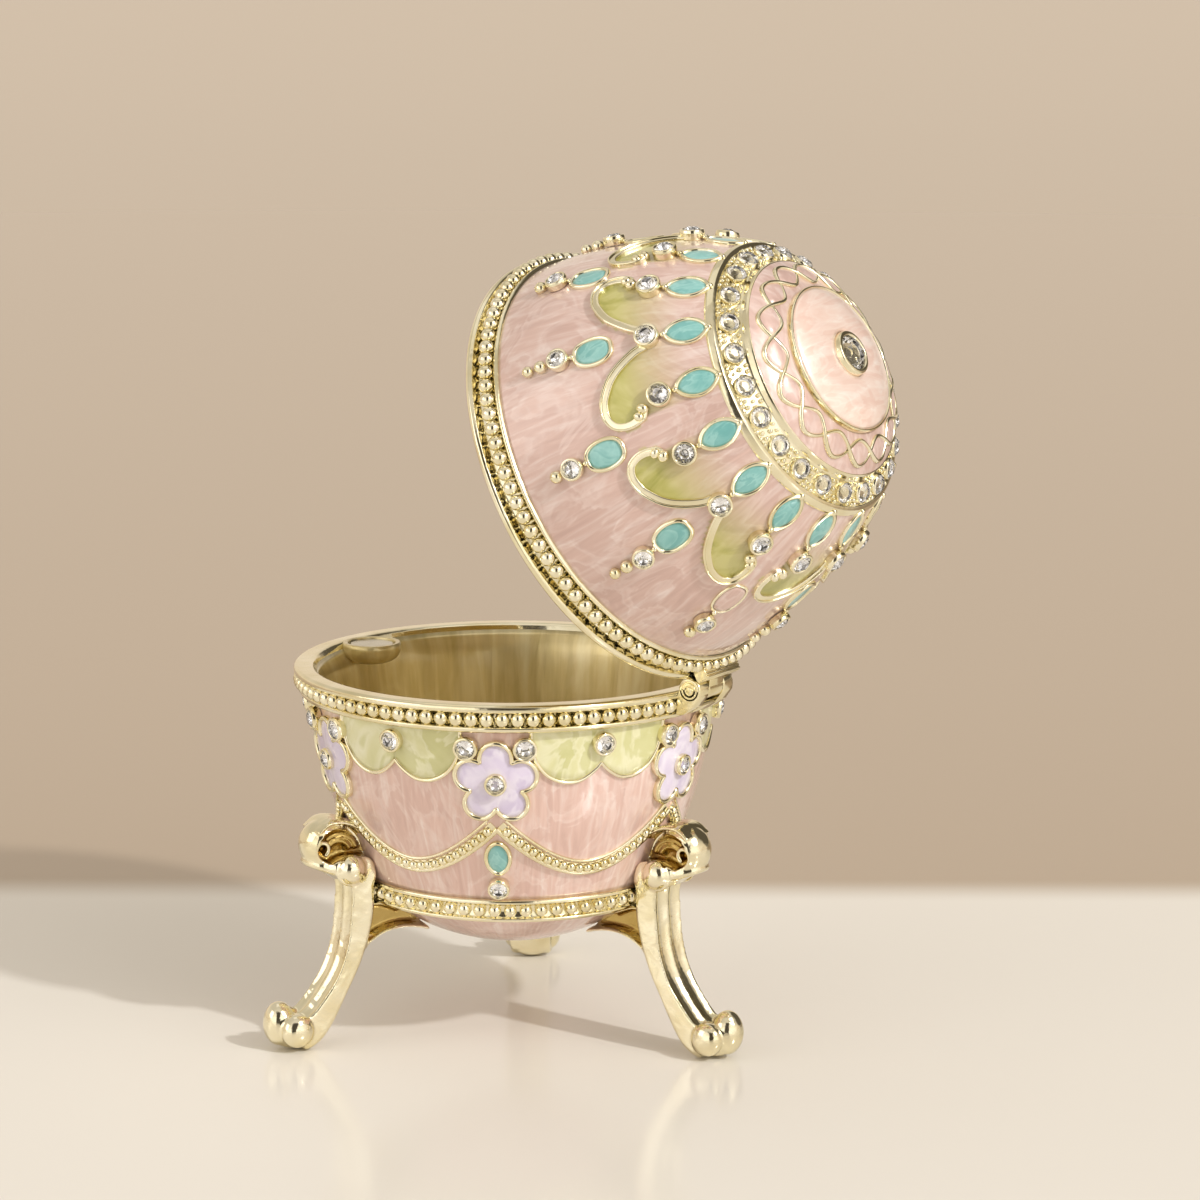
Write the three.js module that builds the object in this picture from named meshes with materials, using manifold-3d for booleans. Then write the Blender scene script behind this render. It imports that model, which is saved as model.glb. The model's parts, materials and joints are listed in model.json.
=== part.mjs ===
// A jewelled egg trinket box on three scrolled legs, its hinged lid standing open.
// Millimetres and degrees. The egg's axis is upright, the floor is z = 0 and the hinge is on the +Y side.
import * as THREE from 'three';
import { mergeVertices } from 'three/addons/utils/BufferGeometryUtils.js';
import Module from 'manifold-3d';

// Driving dimensions
const gap = 0.3; // between pieces that touch on the real box
const facets = 24; // flat faces round the egg
const openAngle = 63.2; // how far the lid stands open, on its stop

const rim = { radius: 28.5, mouth: 25.95, top: 48.1, beads: 90, waist: 27.6, beadRadius: 28.5 };
const foot = { ringTop: 21.3, ringBottom: 18.4, ringRadius: 20.3 };
const crown = { edge: 17.6, shoulder: 14.6, plateau: 13.9, disc: 9.9, top: 38.1 };
const crownStones = { count: 24, height: 31.7 };
const hinge = { y: 29.65, z: 48.27, radius: 1.45, bore: 0.85, pin: 0.55, length: 8.6, middle: 3.4 };
const leaf = { height: 2.3, thick: 1.25, web: 0.5 };
const magnet = { radius: 3, thick: 1.5, fromAxis: 22.4, boss: 3.9, bossDepth: 4.5, recess: 0.2, sides: 12 };
const stone = { small: 1.1, tall: 0.8, seat: 1.5, seatProud: 0.7, top: 2.4, topTall: 1.3, table: 0.55 };
const flower = { height: 37.7, petals: 5, reach: 5.8, waist: 4.1, proud: 0.7 };
const relief = { proud: 0.6, sink: 0.9, stonePeak: 1.5 };
const scallop = { top: 44.2, stone: 42.3, start: 11.8, span: 36.4 };
const scallopDips = [2.8, 6.3, 6.6, 4.1, 6.6, 6.3, 2.8];
const swagLine = { sag: 25.7, rise: 6.4, curve: 1.9, reach: 29, half: 0.95, spread: 0.3, segments: 5 };
const bowlDrop = { cell: [25.1, 27.4, 29.7], halfWidth: 1.55, stone: 23.3 };
const upperDrop = { count: 18, cell: [21.9, 26.8, 29.8], halfWidth: 1.7, stone: 23.5 };
const lowerDrop = { count: 12, cell: [9.6, 14.8, 18.0], halfWidth: 1.9, stone: 11.1, raise: 1.6 };

// The enamelled skins as [radius, height]; the lid's heights count from its own rim, closed.
const bowlSkin = [
  [0.0, 12.2], [7.4, 12.6], [12.4, 14.4], [17.2, 17.5], [20.0, 21.4],
  [22.2, 26.6], [24.0, 31.7], [25.4, 38.0], [26.3, 44.5],
];
const lidSkin = [[26.8, 4.4], [25.6, 12.0], [22.8, 20.5], [20.7, 25.0], [18.2, 29.3]];
const bowlRim = [[27.8, 44.8], [27.6, 45.35, rim.beads]];
const bowlInside = [
  [24.5, 45.2], [22.2, 32.4], [20.4, 27.3], [18.2, 22.1], [15.4, 18.2], [8.0, 14.9, 12], [0.0, 14.5],
];
const lidInside = [
  [0.0, 34.6], [8.0, 34.2, 12], [13.2, 32.0], [16.4, 28.5], [18.9, 24.2], [21.0, 19.7], [23.8, 11.2],
];
const lidRim = [[25.95, 0.0], [28.3, 0.0], [28.5, 0.6], [28.4, 1.1], [27.6, 1.7, rim.beads]];
const lidCrown = [
  [18.0, 29.5], [crown.edge + 0.3, 30.2], [crown.edge - 0.3, 30.9], [crown.shoulder, 32.5],
  [crown.plateau + 0.3, 32.3], [crown.plateau, 33.7], [crown.disc + 0.4, 35.4], [crown.disc, 36.3],
  [3.1, 37.5, 12], [2.9, crown.top, 12], [0.0, crown.top],
];
// A crescent's lower and upper lines as [degrees from its drop, height].
const crescentOuter = [[1.2, 22.4], [6.0, 18.6], [16.0, 16.6], [26.6, 18.2]];
const crescentInner = [[4.0, 22.6], [9.0, 23.0], [17.0, 22.9], [24.4, 21.3]];
const crescentProud = 0.5;

const lidPlane = rim.top + gap; // height of the lid's rim when it is closed
const lidTurn = 2.5; // the lid's ornament is turned this far round from the hinge

const colours = {
  gilt: { color: 0xe6d9a2, metalness: 1.0, roughness: 0.22 },
  enamel: { color: 0xe3b9b0, metalness: 0.0, roughness: 0.25 },
  crystal: { color: 0xf4f4f2, metalness: 0.0, roughness: 0.05 },
  steel: { color: 0xc8c8c4, metalness: 1.0, roughness: 0.3 },
};

const wasm = await Module();
wasm.setup();
const rad = THREE.MathUtils.degToRad;

// Solids: closed meshes in, closed meshes out

function solidOf(geometry) {
  const bare = geometry.clone();
  bare.deleteAttribute('normal');
  bare.deleteAttribute('uv');
  const merged = mergeVertices(bare, 1e-5);
  return new wasm.Manifold(new wasm.Mesh({
    numProp: 3,
    vertProperties: new Float32Array(merged.attributes.position.array),
    triVerts: new Uint32Array(merged.index.array),
  }));
}

function geometryOf(solid) {
  const { vertProperties, triVerts } = solid.getMesh();
  const geometry = new THREE.BufferGeometry();
  geometry.setAttribute('position', new THREE.BufferAttribute(new Float32Array(vertProperties), 3));
  geometry.setIndex(new THREE.BufferAttribute(new Uint32Array(triVerts), 1));
  geometry.computeVertexNormals();
  return geometry;
}

function joined(geometries) {
  return geometries.map(solidOf).reduce((whole, piece) => whole.add(piece));
}

function meshFrom(positions, triangles) {
  const geometry = new THREE.BufferGeometry();
  geometry.setAttribute('position', new THREE.Float32BufferAttribute(positions, 3));
  geometry.setIndex(triangles);
  return geometry;
}

// Joins two rings of points that may differ in number.
function zip(triangles, low, lowCount, high, highCount) {
  let i = 0;
  let j = 0;
  while (i < lowCount || j < highCount) {
    const lowNext = i < lowCount && (j === highCount || (i + 1) / lowCount <= (j + 1) / highCount);
    if (lowNext) {
      triangles.push(low + i, low + ((i + 1) % lowCount), high + (j % highCount));
      i += 1;
    } else {
      triangles.push(low + (i % lowCount), high + ((j + 1) % highCount), high + j);
      j += 1;
    }
  }
}

// A closed solid of revolution. A step is a ring [radius, height, points], a pole [0, height] at either
// end, or a row of beads { beads, radius, height } between the two rings beside it.
function turned(steps) {
  const positions = [];
  const triangles = [];
  const ring = (radius, height, count, turn = 0) => {
    const first = positions.length / 3;
    for (let i = 0; i < count; i += 1) {
      const angle = ((i + turn) / count) * 2 * Math.PI;
      positions.push(radius * Math.cos(angle), radius * Math.sin(angle), height);
    }
    return first;
  };
  let last = null;
  let row = null;
  for (const step of steps) {
    if (step.beads) {
      row = step;
    } else {
      const [radius, height, asked = facets] = step;
      const count = radius === 0 ? 1 : asked;
      const first = ring(radius, height, count);
      if (row) {
        const tips = ring(row.radius, row.height, count, 0.5);
        for (let i = 0; i < count; i += 1) {
          const next = (i + 1) % count;
          const corners = [last.first + i, last.first + next, first + next, first + i];
          corners.forEach((corner, k) => triangles.push(corner, corners[(k + 1) % 4], tips + i));
        }
        row = null;
      } else if (last && last.count === 1) {
        for (let i = 0; i < count; i += 1) triangles.push(last.first, first + ((i + 1) % count), first + i);
      } else if (last && count === 1) {
        for (let i = 0; i < last.count; i += 1) {
          triangles.push(last.first + i, last.first + ((i + 1) % last.count), first);
        }
      } else if (last) {
        zip(triangles, last.first, last.count, first, count);
      }
      last = { first, count };
    }
  }
  return meshFrom(positions, triangles);
}

// Places on a skin

function radiusAt(skin, height) {
  let k = 1;
  while (k < skin.length - 1 && skin[k][1] < height) k += 1;
  const [r0, z0] = skin[k - 1];
  const [r1, z1] = skin[k];
  return r0 + ((r1 - r0) * (height - z0)) / (z1 - z0);
}

function slopeAt(skin, height) {
  const rise = radiusAt(skin, height + 1) - radiusAt(skin, height - 1);
  return new THREE.Vector2(1, -rise / 2).normalize();
}

// A point out from the skin; the azimuth counts from the hinge.
function onSkin(skin, azimuth, height, out) {
  const slope = slopeAt(skin, height);
  const radius = radiusAt(skin, height) + out * slope.x;
  const angle = rad(azimuth + 90);
  return new THREE.Vector3(radius * Math.cos(angle), radius * Math.sin(angle), height + out * slope.y);
}

// The frame of a thing set on the skin: X across, Y up the skin, Z out of it.
function seatFrame(skin, azimuth, height, out) {
  const slope = slopeAt(skin, height);
  const angle = rad(azimuth + 90);
  const outward = new THREE.Vector3(slope.x * Math.cos(angle), slope.x * Math.sin(angle), slope.y);
  const across = new THREE.Vector3(-Math.sin(angle), Math.cos(angle), 0);
  const up = new THREE.Vector3().crossVectors(outward, across);
  const frame = new THREE.Matrix4().makeBasis(across, up, outward);
  return frame.setPosition(onSkin(skin, azimuth, height, out));
}

// A raised patch: its outline runs anticlockwise round the middle, both as [azimuth, height].
function patch(skin, middle, outline, proud = relief.proud, peak = proud) {
  const count = outline.length;
  const positions = [];
  const triangles = [];
  const push = (spot, out) => positions.push(...onSkin(skin, spot[0], spot[1], out).toArray());
  outline.forEach((spot) => push(spot, proud));
  outline.forEach((spot) => push(spot, -relief.sink));
  push(middle, peak);
  push(middle, -relief.sink);
  for (let i = 0; i < count; i += 1) {
    const next = (i + 1) % count;
    triangles.push(2 * count, i, next, i, count + i, next);
    triangles.push(count + i, count + next, next, 2 * count + 1, count + next, count + i);
  }
  return meshFrom(positions, triangles);
}

// A raised ribbon between a lower and an upper line of equal length, both running anticlockwise.
function ribbon(skin, lower, upper, proud = relief.proud) {
  const count = lower.length;
  const positions = [];
  const triangles = [];
  const line = (spots, out) => {
    const first = positions.length / 3;
    spots.forEach((spot) => positions.push(...onSkin(skin, spot[0], spot[1], out).toArray()));
    return first;
  };
  const loops = [
    line(lower, -relief.sink), line(lower, proud), line(upper, proud), line(upper, -relief.sink),
  ];
  for (let i = 0; i + 1 < count; i += 1) {
    for (let k = 0; k < 4; k += 1) {
      const a = loops[k] + i;
      const b = loops[(k + 1) % 4] + i;
      triangles.push(a, a + 1, b, a + 1, b + 1, b);
    }
  }
  const end = count - 1;
  const [a, b, c, d] = loops;
  triangles.push(a, b, c, a, c, d, a + end, c + end, b + end, a + end, d + end, c + end);
  return meshFrom(positions, triangles);
}

// A hanging drop: a cell from its foot past its waist to its top, peaked where its stone sits.
function drop(skin, azimuth, [low, waist, high], halfWidth, sides, peak, peakProud = relief.proud) {
  const across = THREE.MathUtils.radToDeg(halfWidth / radiusAt(skin, waist));
  const outline = [];
  for (let i = 0; i < sides; i += 1) {
    const angle = (i / sides) * 2 * Math.PI;
    const rise = Math.sin(angle) * (angle < Math.PI ? high - waist : waist - low);
    outline.push([azimuth + across * Math.cos(angle), waist + rise]);
  }
  return patch(skin, [azimuth, peak], outline, relief.proud, peakProud);
}

// A short collar that a stone sits on.
function seat(skin, azimuth, height, radius = stone.seat) {
  const depth = stone.seatProud + relief.sink;
  const collar = new THREE.CylinderGeometry(radius * 0.85, radius, depth, 5);
  collar.rotateX(Math.PI / 2).translate(0, 0, depth / 2 - relief.sink);
  return collar.applyMatrix4(seatFrame(skin, azimuth, height, 0));
}

// The scene graph: the bowl's group stands still, the lid's group turns about the hinge

const egg = new THREE.Group();
const lidHung = new THREE.Group();
const lidGroup = new THREE.Group();
lidHung.position.set(0, hinge.y, hinge.z);
lidHung.rotation.x = -rad(openAngle);
lidGroup.position.set(0, -hinge.y, -hinge.z);
lidHung.add(lidGroup);
egg.add(lidHung);

function place(parent, name, shape, look) {
  const geometry = shape.isBufferGeometry ? shape : geometryOf(shape);
  const mesh = new THREE.Mesh(geometry, new THREE.MeshStandardMaterial(look));
  mesh.name = name;
  parent.add(mesh);
  return mesh;
}

// A cut stone: a wide girdle below and a flat table above.
function gem(radius, tall, sides) {
  const shape = new THREE.Shape();
  for (let i = 0; i < sides; i += 1) {
    const angle = (i / sides) * 2 * Math.PI;
    shape[i ? 'lineTo' : 'moveTo'](radius * Math.cos(angle), radius * Math.sin(angle));
  }
  const stoneShape = new THREE.ExtrudeGeometry(shape, { depth: tall, bevelEnabled: false });
  const spots = stoneShape.attributes.position;
  for (let i = 0; i < spots.count; i += 1) {
    const shrink = spots.getZ(i) > tall / 2 ? stone.table : 1;
    spots.setXY(i, spots.getX(i) * shrink, spots.getY(i) * shrink);
  }
  return stoneShape.translate(0, 0, gap);
}

// A stone in a node of its own, just clear of what it sits on.
function placeStone(parent, name, frame, radius, tall, sides = 5) {
  const mesh = place(parent, name, gem(radius, tall, sides), colours.crystal);
  frame.decompose(mesh.position, mesh.quaternion, mesh.scale);
}

// What both rims share: the notch that clears the hinge, and the boss and pocket of a magnet

const magnetDeep = magnet.thick + gap;

function hingeNotch() {
  const radius = hinge.radius + gap;
  const notch = new THREE.CylinderGeometry(radius, radius, hinge.length + 2 * gap, 12);
  return solidOf(notch.rotateZ(Math.PI / 2).translate(0, hinge.y, hinge.z));
}

// side is 1 for the bowl, whose face looks up, and -1 for the lid, whose face looks down.
function magnetBoss(face, side) {
  const boss = new THREE.CylinderGeometry(magnet.boss, magnet.boss * 0.7, magnet.bossDepth, magnet.sides);
  boss.rotateX(side * Math.PI / 2);
  return boss.translate(0, -magnet.fromAxis, face - side * (magnet.bossDepth / 2 + magnet.recess));
}

function magnetPocket(face, side) {
  const radius = magnet.radius + gap;
  const pocket = new THREE.CylinderGeometry(radius, radius, 2 * magnetDeep, magnet.sides);
  pocket.rotateX(Math.PI / 2);
  return solidOf(pocket.translate(0, -magnet.fromAxis, face - side * magnet.recess));
}

function magnetDisc(face, side) {
  const disc = new THREE.CylinderGeometry(magnet.radius, magnet.radius, magnet.thick, magnet.sides);
  disc.rotateX(Math.PI / 2);
  return disc.translate(0, -magnet.fromAxis, face - side * (magnet.thick / 2 + magnet.recess));
}

// Bowl

function bowlBody() {
  return turned([
    bowlSkin[0], [...bowlSkin[1], 12], bowlSkin[2], bowlSkin[3],
    [foot.ringRadius - 0.8, foot.ringBottom], [foot.ringRadius, foot.ringBottom + 0.5],
    [foot.ringRadius + 0.3, foot.ringTop - 0.4], [foot.ringRadius - 0.2, foot.ringTop],
    ...bowlSkin.slice(5), ...bowlRim, { beads: true, radius: rim.beadRadius, height: 46.2 },
    [rim.waist, 47.05, rim.beads], [rim.radius, 47.6], [rim.radius - 0.2, rim.top], [rim.mouth, rim.top],
    ...bowlInside,
  ]);
}

function flowerPatch(azimuth) {
  const radius = radiusAt(bowlSkin, flower.height);
  const outline = [];
  const steps = 3 * flower.petals;
  for (let i = 0; i < steps; i += 1) {
    const angle = ((i + 0.5) / steps) * 2 * Math.PI + Math.PI / 2;
    const reach = i % 3 === 1 ? flower.waist : flower.reach;
    const across = THREE.MathUtils.radToDeg((reach * Math.cos(angle)) / radius);
    outline.push([azimuth + across, flower.height + reach * Math.sin(angle)]);
  }
  return patch(bowlSkin, [azimuth, flower.height], outline, flower.proud);
}

// A pair of scallops hung from the rim between two flowers, with their cusp midway.
function scallops(azimuth) {
  const last = scallopDips.length - 1;
  const across = scallopDips.map((dip, i) => azimuth + scallop.start + (scallop.span * i) / last);
  const lower = scallopDips.map((dip, i) => [across[i], scallop.top - dip]);
  return ribbon(bowlSkin, lower, across.map((angle) => [angle, scallop.top]));
}

// A beaded swag that droops from one flower to the next.
function swag(azimuth) {
  const lower = [];
  const upper = [];
  for (let i = 0; i <= swagLine.segments; i += 1) {
    const across = (i / swagLine.segments) * 2 - 1;
    const centre = swagLine.sag + swagLine.rise * Math.abs(across) ** swagLine.curve;
    const half = swagLine.half + swagLine.spread * Math.abs(across);
    lower.push([azimuth + 30 + swagLine.reach * across, centre - half]);
    upper.push([azimuth + 30 + swagLine.reach * across, centre + half]);
  }
  return ribbon(bowlSkin, lower, upper);
}

function makeBowl() {
  const pieces = [bowlBody(), magnetBoss(rim.top, 1)];
  for (let k = 0; k < 6; k += 1) {
    const azimuth = 60 * k;
    pieces.push(flowerPatch(azimuth), scallops(azimuth), swag(azimuth));
    pieces.push(seat(bowlSkin, azimuth + 30, scallop.stone));
    if (k % 2 === 1) {
      pieces.push(drop(bowlSkin, azimuth, bowlDrop.cell, bowlDrop.halfWidth, 8, bowlDrop.cell[1]));
      pieces.push(seat(bowlSkin, azimuth, bowlDrop.stone));
    }
  }
  return joined(pieces).subtract(hingeNotch()).subtract(magnetPocket(rim.top, 1));
}

function placeBowlStones() {
  for (let k = 0; k < 6; k += 1) {
    const azimuth = 60 * k;
    const heart = seatFrame(bowlSkin, azimuth, flower.height, flower.proud);
    placeStone(egg, `crystal_flower_${k + 1}`, heart, stone.small, stone.tall);
    const cusp = seatFrame(bowlSkin, azimuth + 30, scallop.stone, stone.seatProud);
    placeStone(egg, `crystal_scallop_${k + 1}`, cusp, stone.small, stone.tall);
    if (k % 2 === 1) {
      const drop = seatFrame(bowlSkin, azimuth, bowlDrop.stone, stone.seatProud);
      placeStone(egg, `crystal_drop_${(k + 1) / 2}`, drop, stone.small, stone.tall);
    }
  }
}

// Lid

function lidBody() {
  const up = (rings) => rings.map(([r, h, count]) => [r, lidPlane + h, count]);
  return turned([
    ...up(lidInside), ...up(lidRim), { beads: true, radius: rim.beadRadius, height: lidPlane + 2.75 },
    ...up([[rim.waist, 3.8, rim.beads], [rim.waist - 0.1, 4.3]]), ...up(lidSkin), ...up(lidCrown),
  ]);
}

const lidSkinUp = lidSkin.map(([r, h]) => [r, lidPlane + h]);

// A crescent scallop that leaves a drop's stone, swings down and curls up again.
function crescent(azimuth, side) {
  const spots = (line) => line.map(([across, h]) => [azimuth + side * across, lidPlane + h]);
  const lower = spots(crescentOuter);
  const upper = spots(crescentInner);
  if (side < 0) {
    lower.reverse();
    upper.reverse();
  }
  return ribbon(lidSkinUp, lower, upper, crescentProud);
}

function makeLid() {
  const pieces = [lidBody(), magnetBoss(lidPlane, -1)];
  for (const row of [upperDrop, lowerDrop]) {
    for (let k = 0; k < row.count; k += 1) {
      const base = lidPlane + (row.raise && k % 2 === 0 ? row.raise : 0);
      const azimuth = lidTurn + (360 / row.count) * k;
      const cell = row.cell.map((h) => base + h);
      pieces.push(drop(lidSkinUp, azimuth, cell, row.halfWidth, 4, base + row.stone, relief.stonePeak));
    }
  }
  for (let k = 0; k < 6; k += 1) {
    pieces.push(crescent(lidTurn + 60 * k, 1), crescent(lidTurn + 60 * k, -1));
  }
  return joined(pieces).subtract(hingeNotch()).subtract(magnetPocket(lidPlane, -1));
}

function placeLidStones() {
  const crownSkin = [[crown.edge, lidPlane + 30.9], [crown.shoulder, lidPlane + 32.5]];
  for (let k = 0; k < crownStones.count; k += 1) {
    const frame = seatFrame(crownSkin, (360 / crownStones.count) * k, lidPlane + crownStones.height, 0);
    placeStone(lidGroup, `crystal_crown_${String(k + 1).padStart(2, '0')}`, frame, stone.small, stone.tall);
  }
  const top = new THREE.Matrix4().setPosition(0, 0, lidPlane + crown.top);
  placeStone(lidGroup, 'crystal_top', top, stone.top, stone.topTall, 8);
}

// Legs: drawn upright as [distance from the egg's axis, height], then given their width

const legWidth = 5.6;
const gussetWidth = 2.6;
const hollowDepth = 1.2;
const flutes = { width: 1.1, fromMiddle: 1.0, depth: 0.6 };
const scrollEyes = [[24.5, 23.7, 1.9], [32.1, 3.8, 2.0]]; // distance, height, radius

const legOutline = [
  [22.2, 25.4], [23.4, 28.6], [24.9, 30.0], [27.3, 30.3], [29.4, 29.4], [30.4, 27.0],
  [30.6, 24.7], [28.6, 23.4], [24.5, 21.0], [24.2, 17.5], [24.7, 13.5], [26.0, 10.0],
  [27.8, 7.2], [30.0, 5.0], [32.0, 5.4], [33.6, 6.3], [35.1, 5.5], [35.4, 3.4],
  [33.9, 1.2], [31.9, 0.0], [29.4, 0.0], [26.6, 3.7], [23.2, 10.7], [21.4, 17.5],
];
const scrollHollow = [[23.0, 25.6], [27.8, 25.2], [28.6, 26.8], [27.4, 28.3], [25.0, 28.5]];
const gussetOutline = [
  [22.6, 18.0], [19.4, 17.9], [17.3, 17.0], [13.2, 14.4], [16.8, 14.5], [19.2, 13.9], [22.6, 11.8],
];

function slab(outline, width) {
  const shape = new THREE.Shape(outline.map(([r, z]) => new THREE.Vector2(r, z)));
  const geometry = new THREE.ExtrudeGeometry(shape, { depth: width, bevelEnabled: false });
  return geometry.translate(0, 0, -width / 2);
}

function eyeAt([r, z, radius], side) {
  return new THREE.SphereGeometry(radius, 6, 4).translate(r, z, (side * legWidth) / 2);
}

// The long flutes follow the outer face of the shaft.
function flute(offset) {
  const face = legOutline.slice(8, 14);
  const back = face.map(([r, z]) => [r - flutes.depth, z - 0.1]).reverse();
  const front = face.map(([r, z]) => [r + 1, z + 0.4]);
  return slab([...front, ...back], flutes.width).translate(0, 0, offset);
}

function makeLeg() {
  let leg = joined([
    slab(legOutline, legWidth), slab(gussetOutline, gussetWidth),
    ...scrollEyes.flatMap((eye) => [eyeAt(eye, 1), eyeAt(eye, -1)]),
  ]);
  for (const side of [1, -1]) {
    const hollow = slab(scrollHollow, 2 * hollowDepth).translate(0, 0, (side * legWidth) / 2);
    leg = leg.subtract(solidOf(hollow)).subtract(solidOf(flute(side * flutes.fromMiddle)));
  }
  return geometryOf(leg).rotateX(Math.PI / 2);
}

function placeLegs() {
  const shape = makeLeg();
  ['leg_back', 'leg_left', 'leg_right'].forEach((name, k) => {
    place(egg, name, shape.clone().rotateZ(rad(90 + 120 * k)), colours.gilt);
  });
}

// Hinge: two outer knuckles on the bowl's leaf, the middle one on the lid's, and a pin

function knuckle(from, to) {
  const barrel = new THREE.CylinderGeometry(hinge.radius, hinge.radius, to - from, 10);
  barrel.rotateZ(Math.PI / 2).translate((from + to) / 2, hinge.y, hinge.z);
  return barrel;
}

function bore() {
  const hole = new THREE.CylinderGeometry(hinge.bore, hinge.bore, hinge.length + 2, 8);
  return solidOf(hole.rotateZ(Math.PI / 2).translate(0, hinge.y, hinge.z));
}

function block(x, y0, y1, z0, z1) {
  return new THREE.BoxGeometry(x[1] - x[0], y1 - y0, z1 - z0)
    .translate((x[0] + x[1]) / 2, (y0 + y1) / 2, (z0 + z1) / 2);
}

function makeHinge() {
  const half = hinge.length / 2;
  const inner = hinge.middle / 2;
  const face = rim.radius + gap;
  const clear = hinge.radius + gap;
  const sides = [[inner + gap, half], [-half, -inner - gap]];
  const bowlLeaf = joined([
    ...sides.map((x) => knuckle(x[0], x[1])),
    ...sides.map((x) => block(x, face, face + leaf.thick, hinge.z - clear - leaf.web, hinge.z)),
    block([-half, half], face, face + leaf.thick, hinge.z - clear - leaf.height + 0.8, hinge.z - clear),
  ]);
  const lidLeaf = joined([
    knuckle(-inner, inner),
    block([-inner, inner], face, face + leaf.thick, hinge.z, hinge.z + clear + leaf.web),
    block([-half, half], face, face + 1.5 * leaf.thick, hinge.z + clear, hinge.z + clear + leaf.height),
  ]);
  place(egg, 'hinge_leaf_bowl', bowlLeaf.subtract(bore()), colours.gilt);
  place(lidGroup, 'hinge_leaf_lid', lidLeaf.subtract(bore()), colours.gilt);
  const pin = new THREE.CylinderGeometry(hinge.pin, hinge.pin, hinge.length, 10).rotateZ(Math.PI / 2);
  place(egg, 'hinge_pin', pin, colours.gilt).position.set(0, hinge.y, hinge.z);
}

place(egg, 'bowl', makeBowl(), colours.enamel);
place(lidGroup, 'lid', makeLid(), colours.enamel);
place(egg, 'magnet_bowl', magnetDisc(rim.top, 1), colours.steel);
place(lidGroup, 'magnet_lid', magnetDisc(lidPlane, -1), colours.steel);
placeBowlStones();
placeLidStones();
placeLegs();
makeHinge();

// The origin is the middle of the open box's footprint, on the floor.
const bounds = new THREE.Box3().setFromObject(egg, true);
egg.position.set(0, -(bounds.min.y + bounds.max.y) / 2, -bounds.min.z);
egg.updateMatrixWorld(true);

export default egg;
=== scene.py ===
import json
import math
import bmesh
import bpy
import numpy as np
from mathutils import Matrix, Vector


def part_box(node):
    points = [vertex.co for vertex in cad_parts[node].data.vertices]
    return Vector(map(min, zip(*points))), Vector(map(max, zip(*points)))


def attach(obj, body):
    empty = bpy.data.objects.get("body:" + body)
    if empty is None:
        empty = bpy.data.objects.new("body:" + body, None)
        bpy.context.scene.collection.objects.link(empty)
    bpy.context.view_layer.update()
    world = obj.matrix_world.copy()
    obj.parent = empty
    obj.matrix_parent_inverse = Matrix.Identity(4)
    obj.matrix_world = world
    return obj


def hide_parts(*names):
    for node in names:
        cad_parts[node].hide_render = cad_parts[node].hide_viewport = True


# A jewelled egg trinket box: enamel in gilt outlines, set stones, three scrolled legs.
# Lengths are in millimetres until a mesh is made. Azimuths are degrees round the egg, counted from the hinge.
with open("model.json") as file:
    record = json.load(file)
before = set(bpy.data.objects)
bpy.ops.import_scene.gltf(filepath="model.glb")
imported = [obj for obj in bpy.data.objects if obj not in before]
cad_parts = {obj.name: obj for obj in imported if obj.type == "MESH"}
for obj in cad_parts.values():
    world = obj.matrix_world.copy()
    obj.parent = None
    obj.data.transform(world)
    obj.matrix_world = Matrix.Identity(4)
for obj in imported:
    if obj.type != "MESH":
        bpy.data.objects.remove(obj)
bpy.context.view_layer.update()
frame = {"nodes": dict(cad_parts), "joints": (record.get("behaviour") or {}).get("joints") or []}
mm = 0.001
bowlLow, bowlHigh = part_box("bowl")
axisY = (bowlLow.y + bowlHigh.y) / 2 / mm  # the egg's upright axis
rimTop = bowlHigh.z / mm
joint = frame["joints"][0]
hingeAt = Vector(joint["pos_m"])
openAngle = math.radians(joint["range_deg"][1])
openLid = Matrix.Translation(hingeAt) @ Matrix.Rotation(-openAngle, 4, "X") @ Matrix.Translation(-hingeAt)
lidPlane = rimTop + 0.3  # height of the lid's own rim when it is shut
print("frame loaded")


# Camera: the photo's angle
camera = {"azimuth": 123.467, "elevation": 10.497, "roll": 0.157, "distance": 505.836, "lens": 116.889,
          "aimAlong": 11.332, "aimHeight": 56.156}


def makeCamera():
    a, e = math.radians(camera["azimuth"]), math.radians(camera["elevation"])
    back = Vector((math.sin(a) * math.cos(e), -math.cos(a) * math.cos(e), math.sin(e)))
    right = Vector((math.cos(a), math.sin(a), 0))
    aim = right * camera["aimAlong"] + Vector((0, axisY, camera["aimHeight"]))
    turn = Matrix((right, back.cross(right), back)).transposed()
    turn = turn @ Matrix.Rotation(math.radians(camera["roll"]), 3, "Z")
    data = bpy.data.cameras.new("camera")
    data.lens = camera["lens"]
    data.sensor_width = 36
    data.clip_start = 0.01
    obj = bpy.data.objects.new("camera", data)
    obj.matrix_world = Matrix.Translation((aim + back * camera["distance"]) * mm) @ turn.to_4x4()
    bpy.context.scene.collection.objects.link(obj)
    bpy.context.scene.camera = obj


makeCamera()


# Materials
def newMaterial(name, **values):
    mat = bpy.data.materials.new(name)
    mat.use_nodes = True
    shader = mat.node_tree.nodes["Principled BSDF"]
    for key, value in values.items():
        shader.inputs[key].default_value = value
    return mat, mat.node_tree, shader


def addNode(tree, kind, inputs=None, **settings):
    node = tree.nodes.new(kind)
    for key, value in settings.items():
        setattr(node, key, value)
    for key, value in (inputs or {}).items():
        if isinstance(value, bpy.types.NodeSocket):
            tree.links.new(value, node.inputs[key])
        else:
            node.inputs[key].default_value = value
    return node


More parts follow.
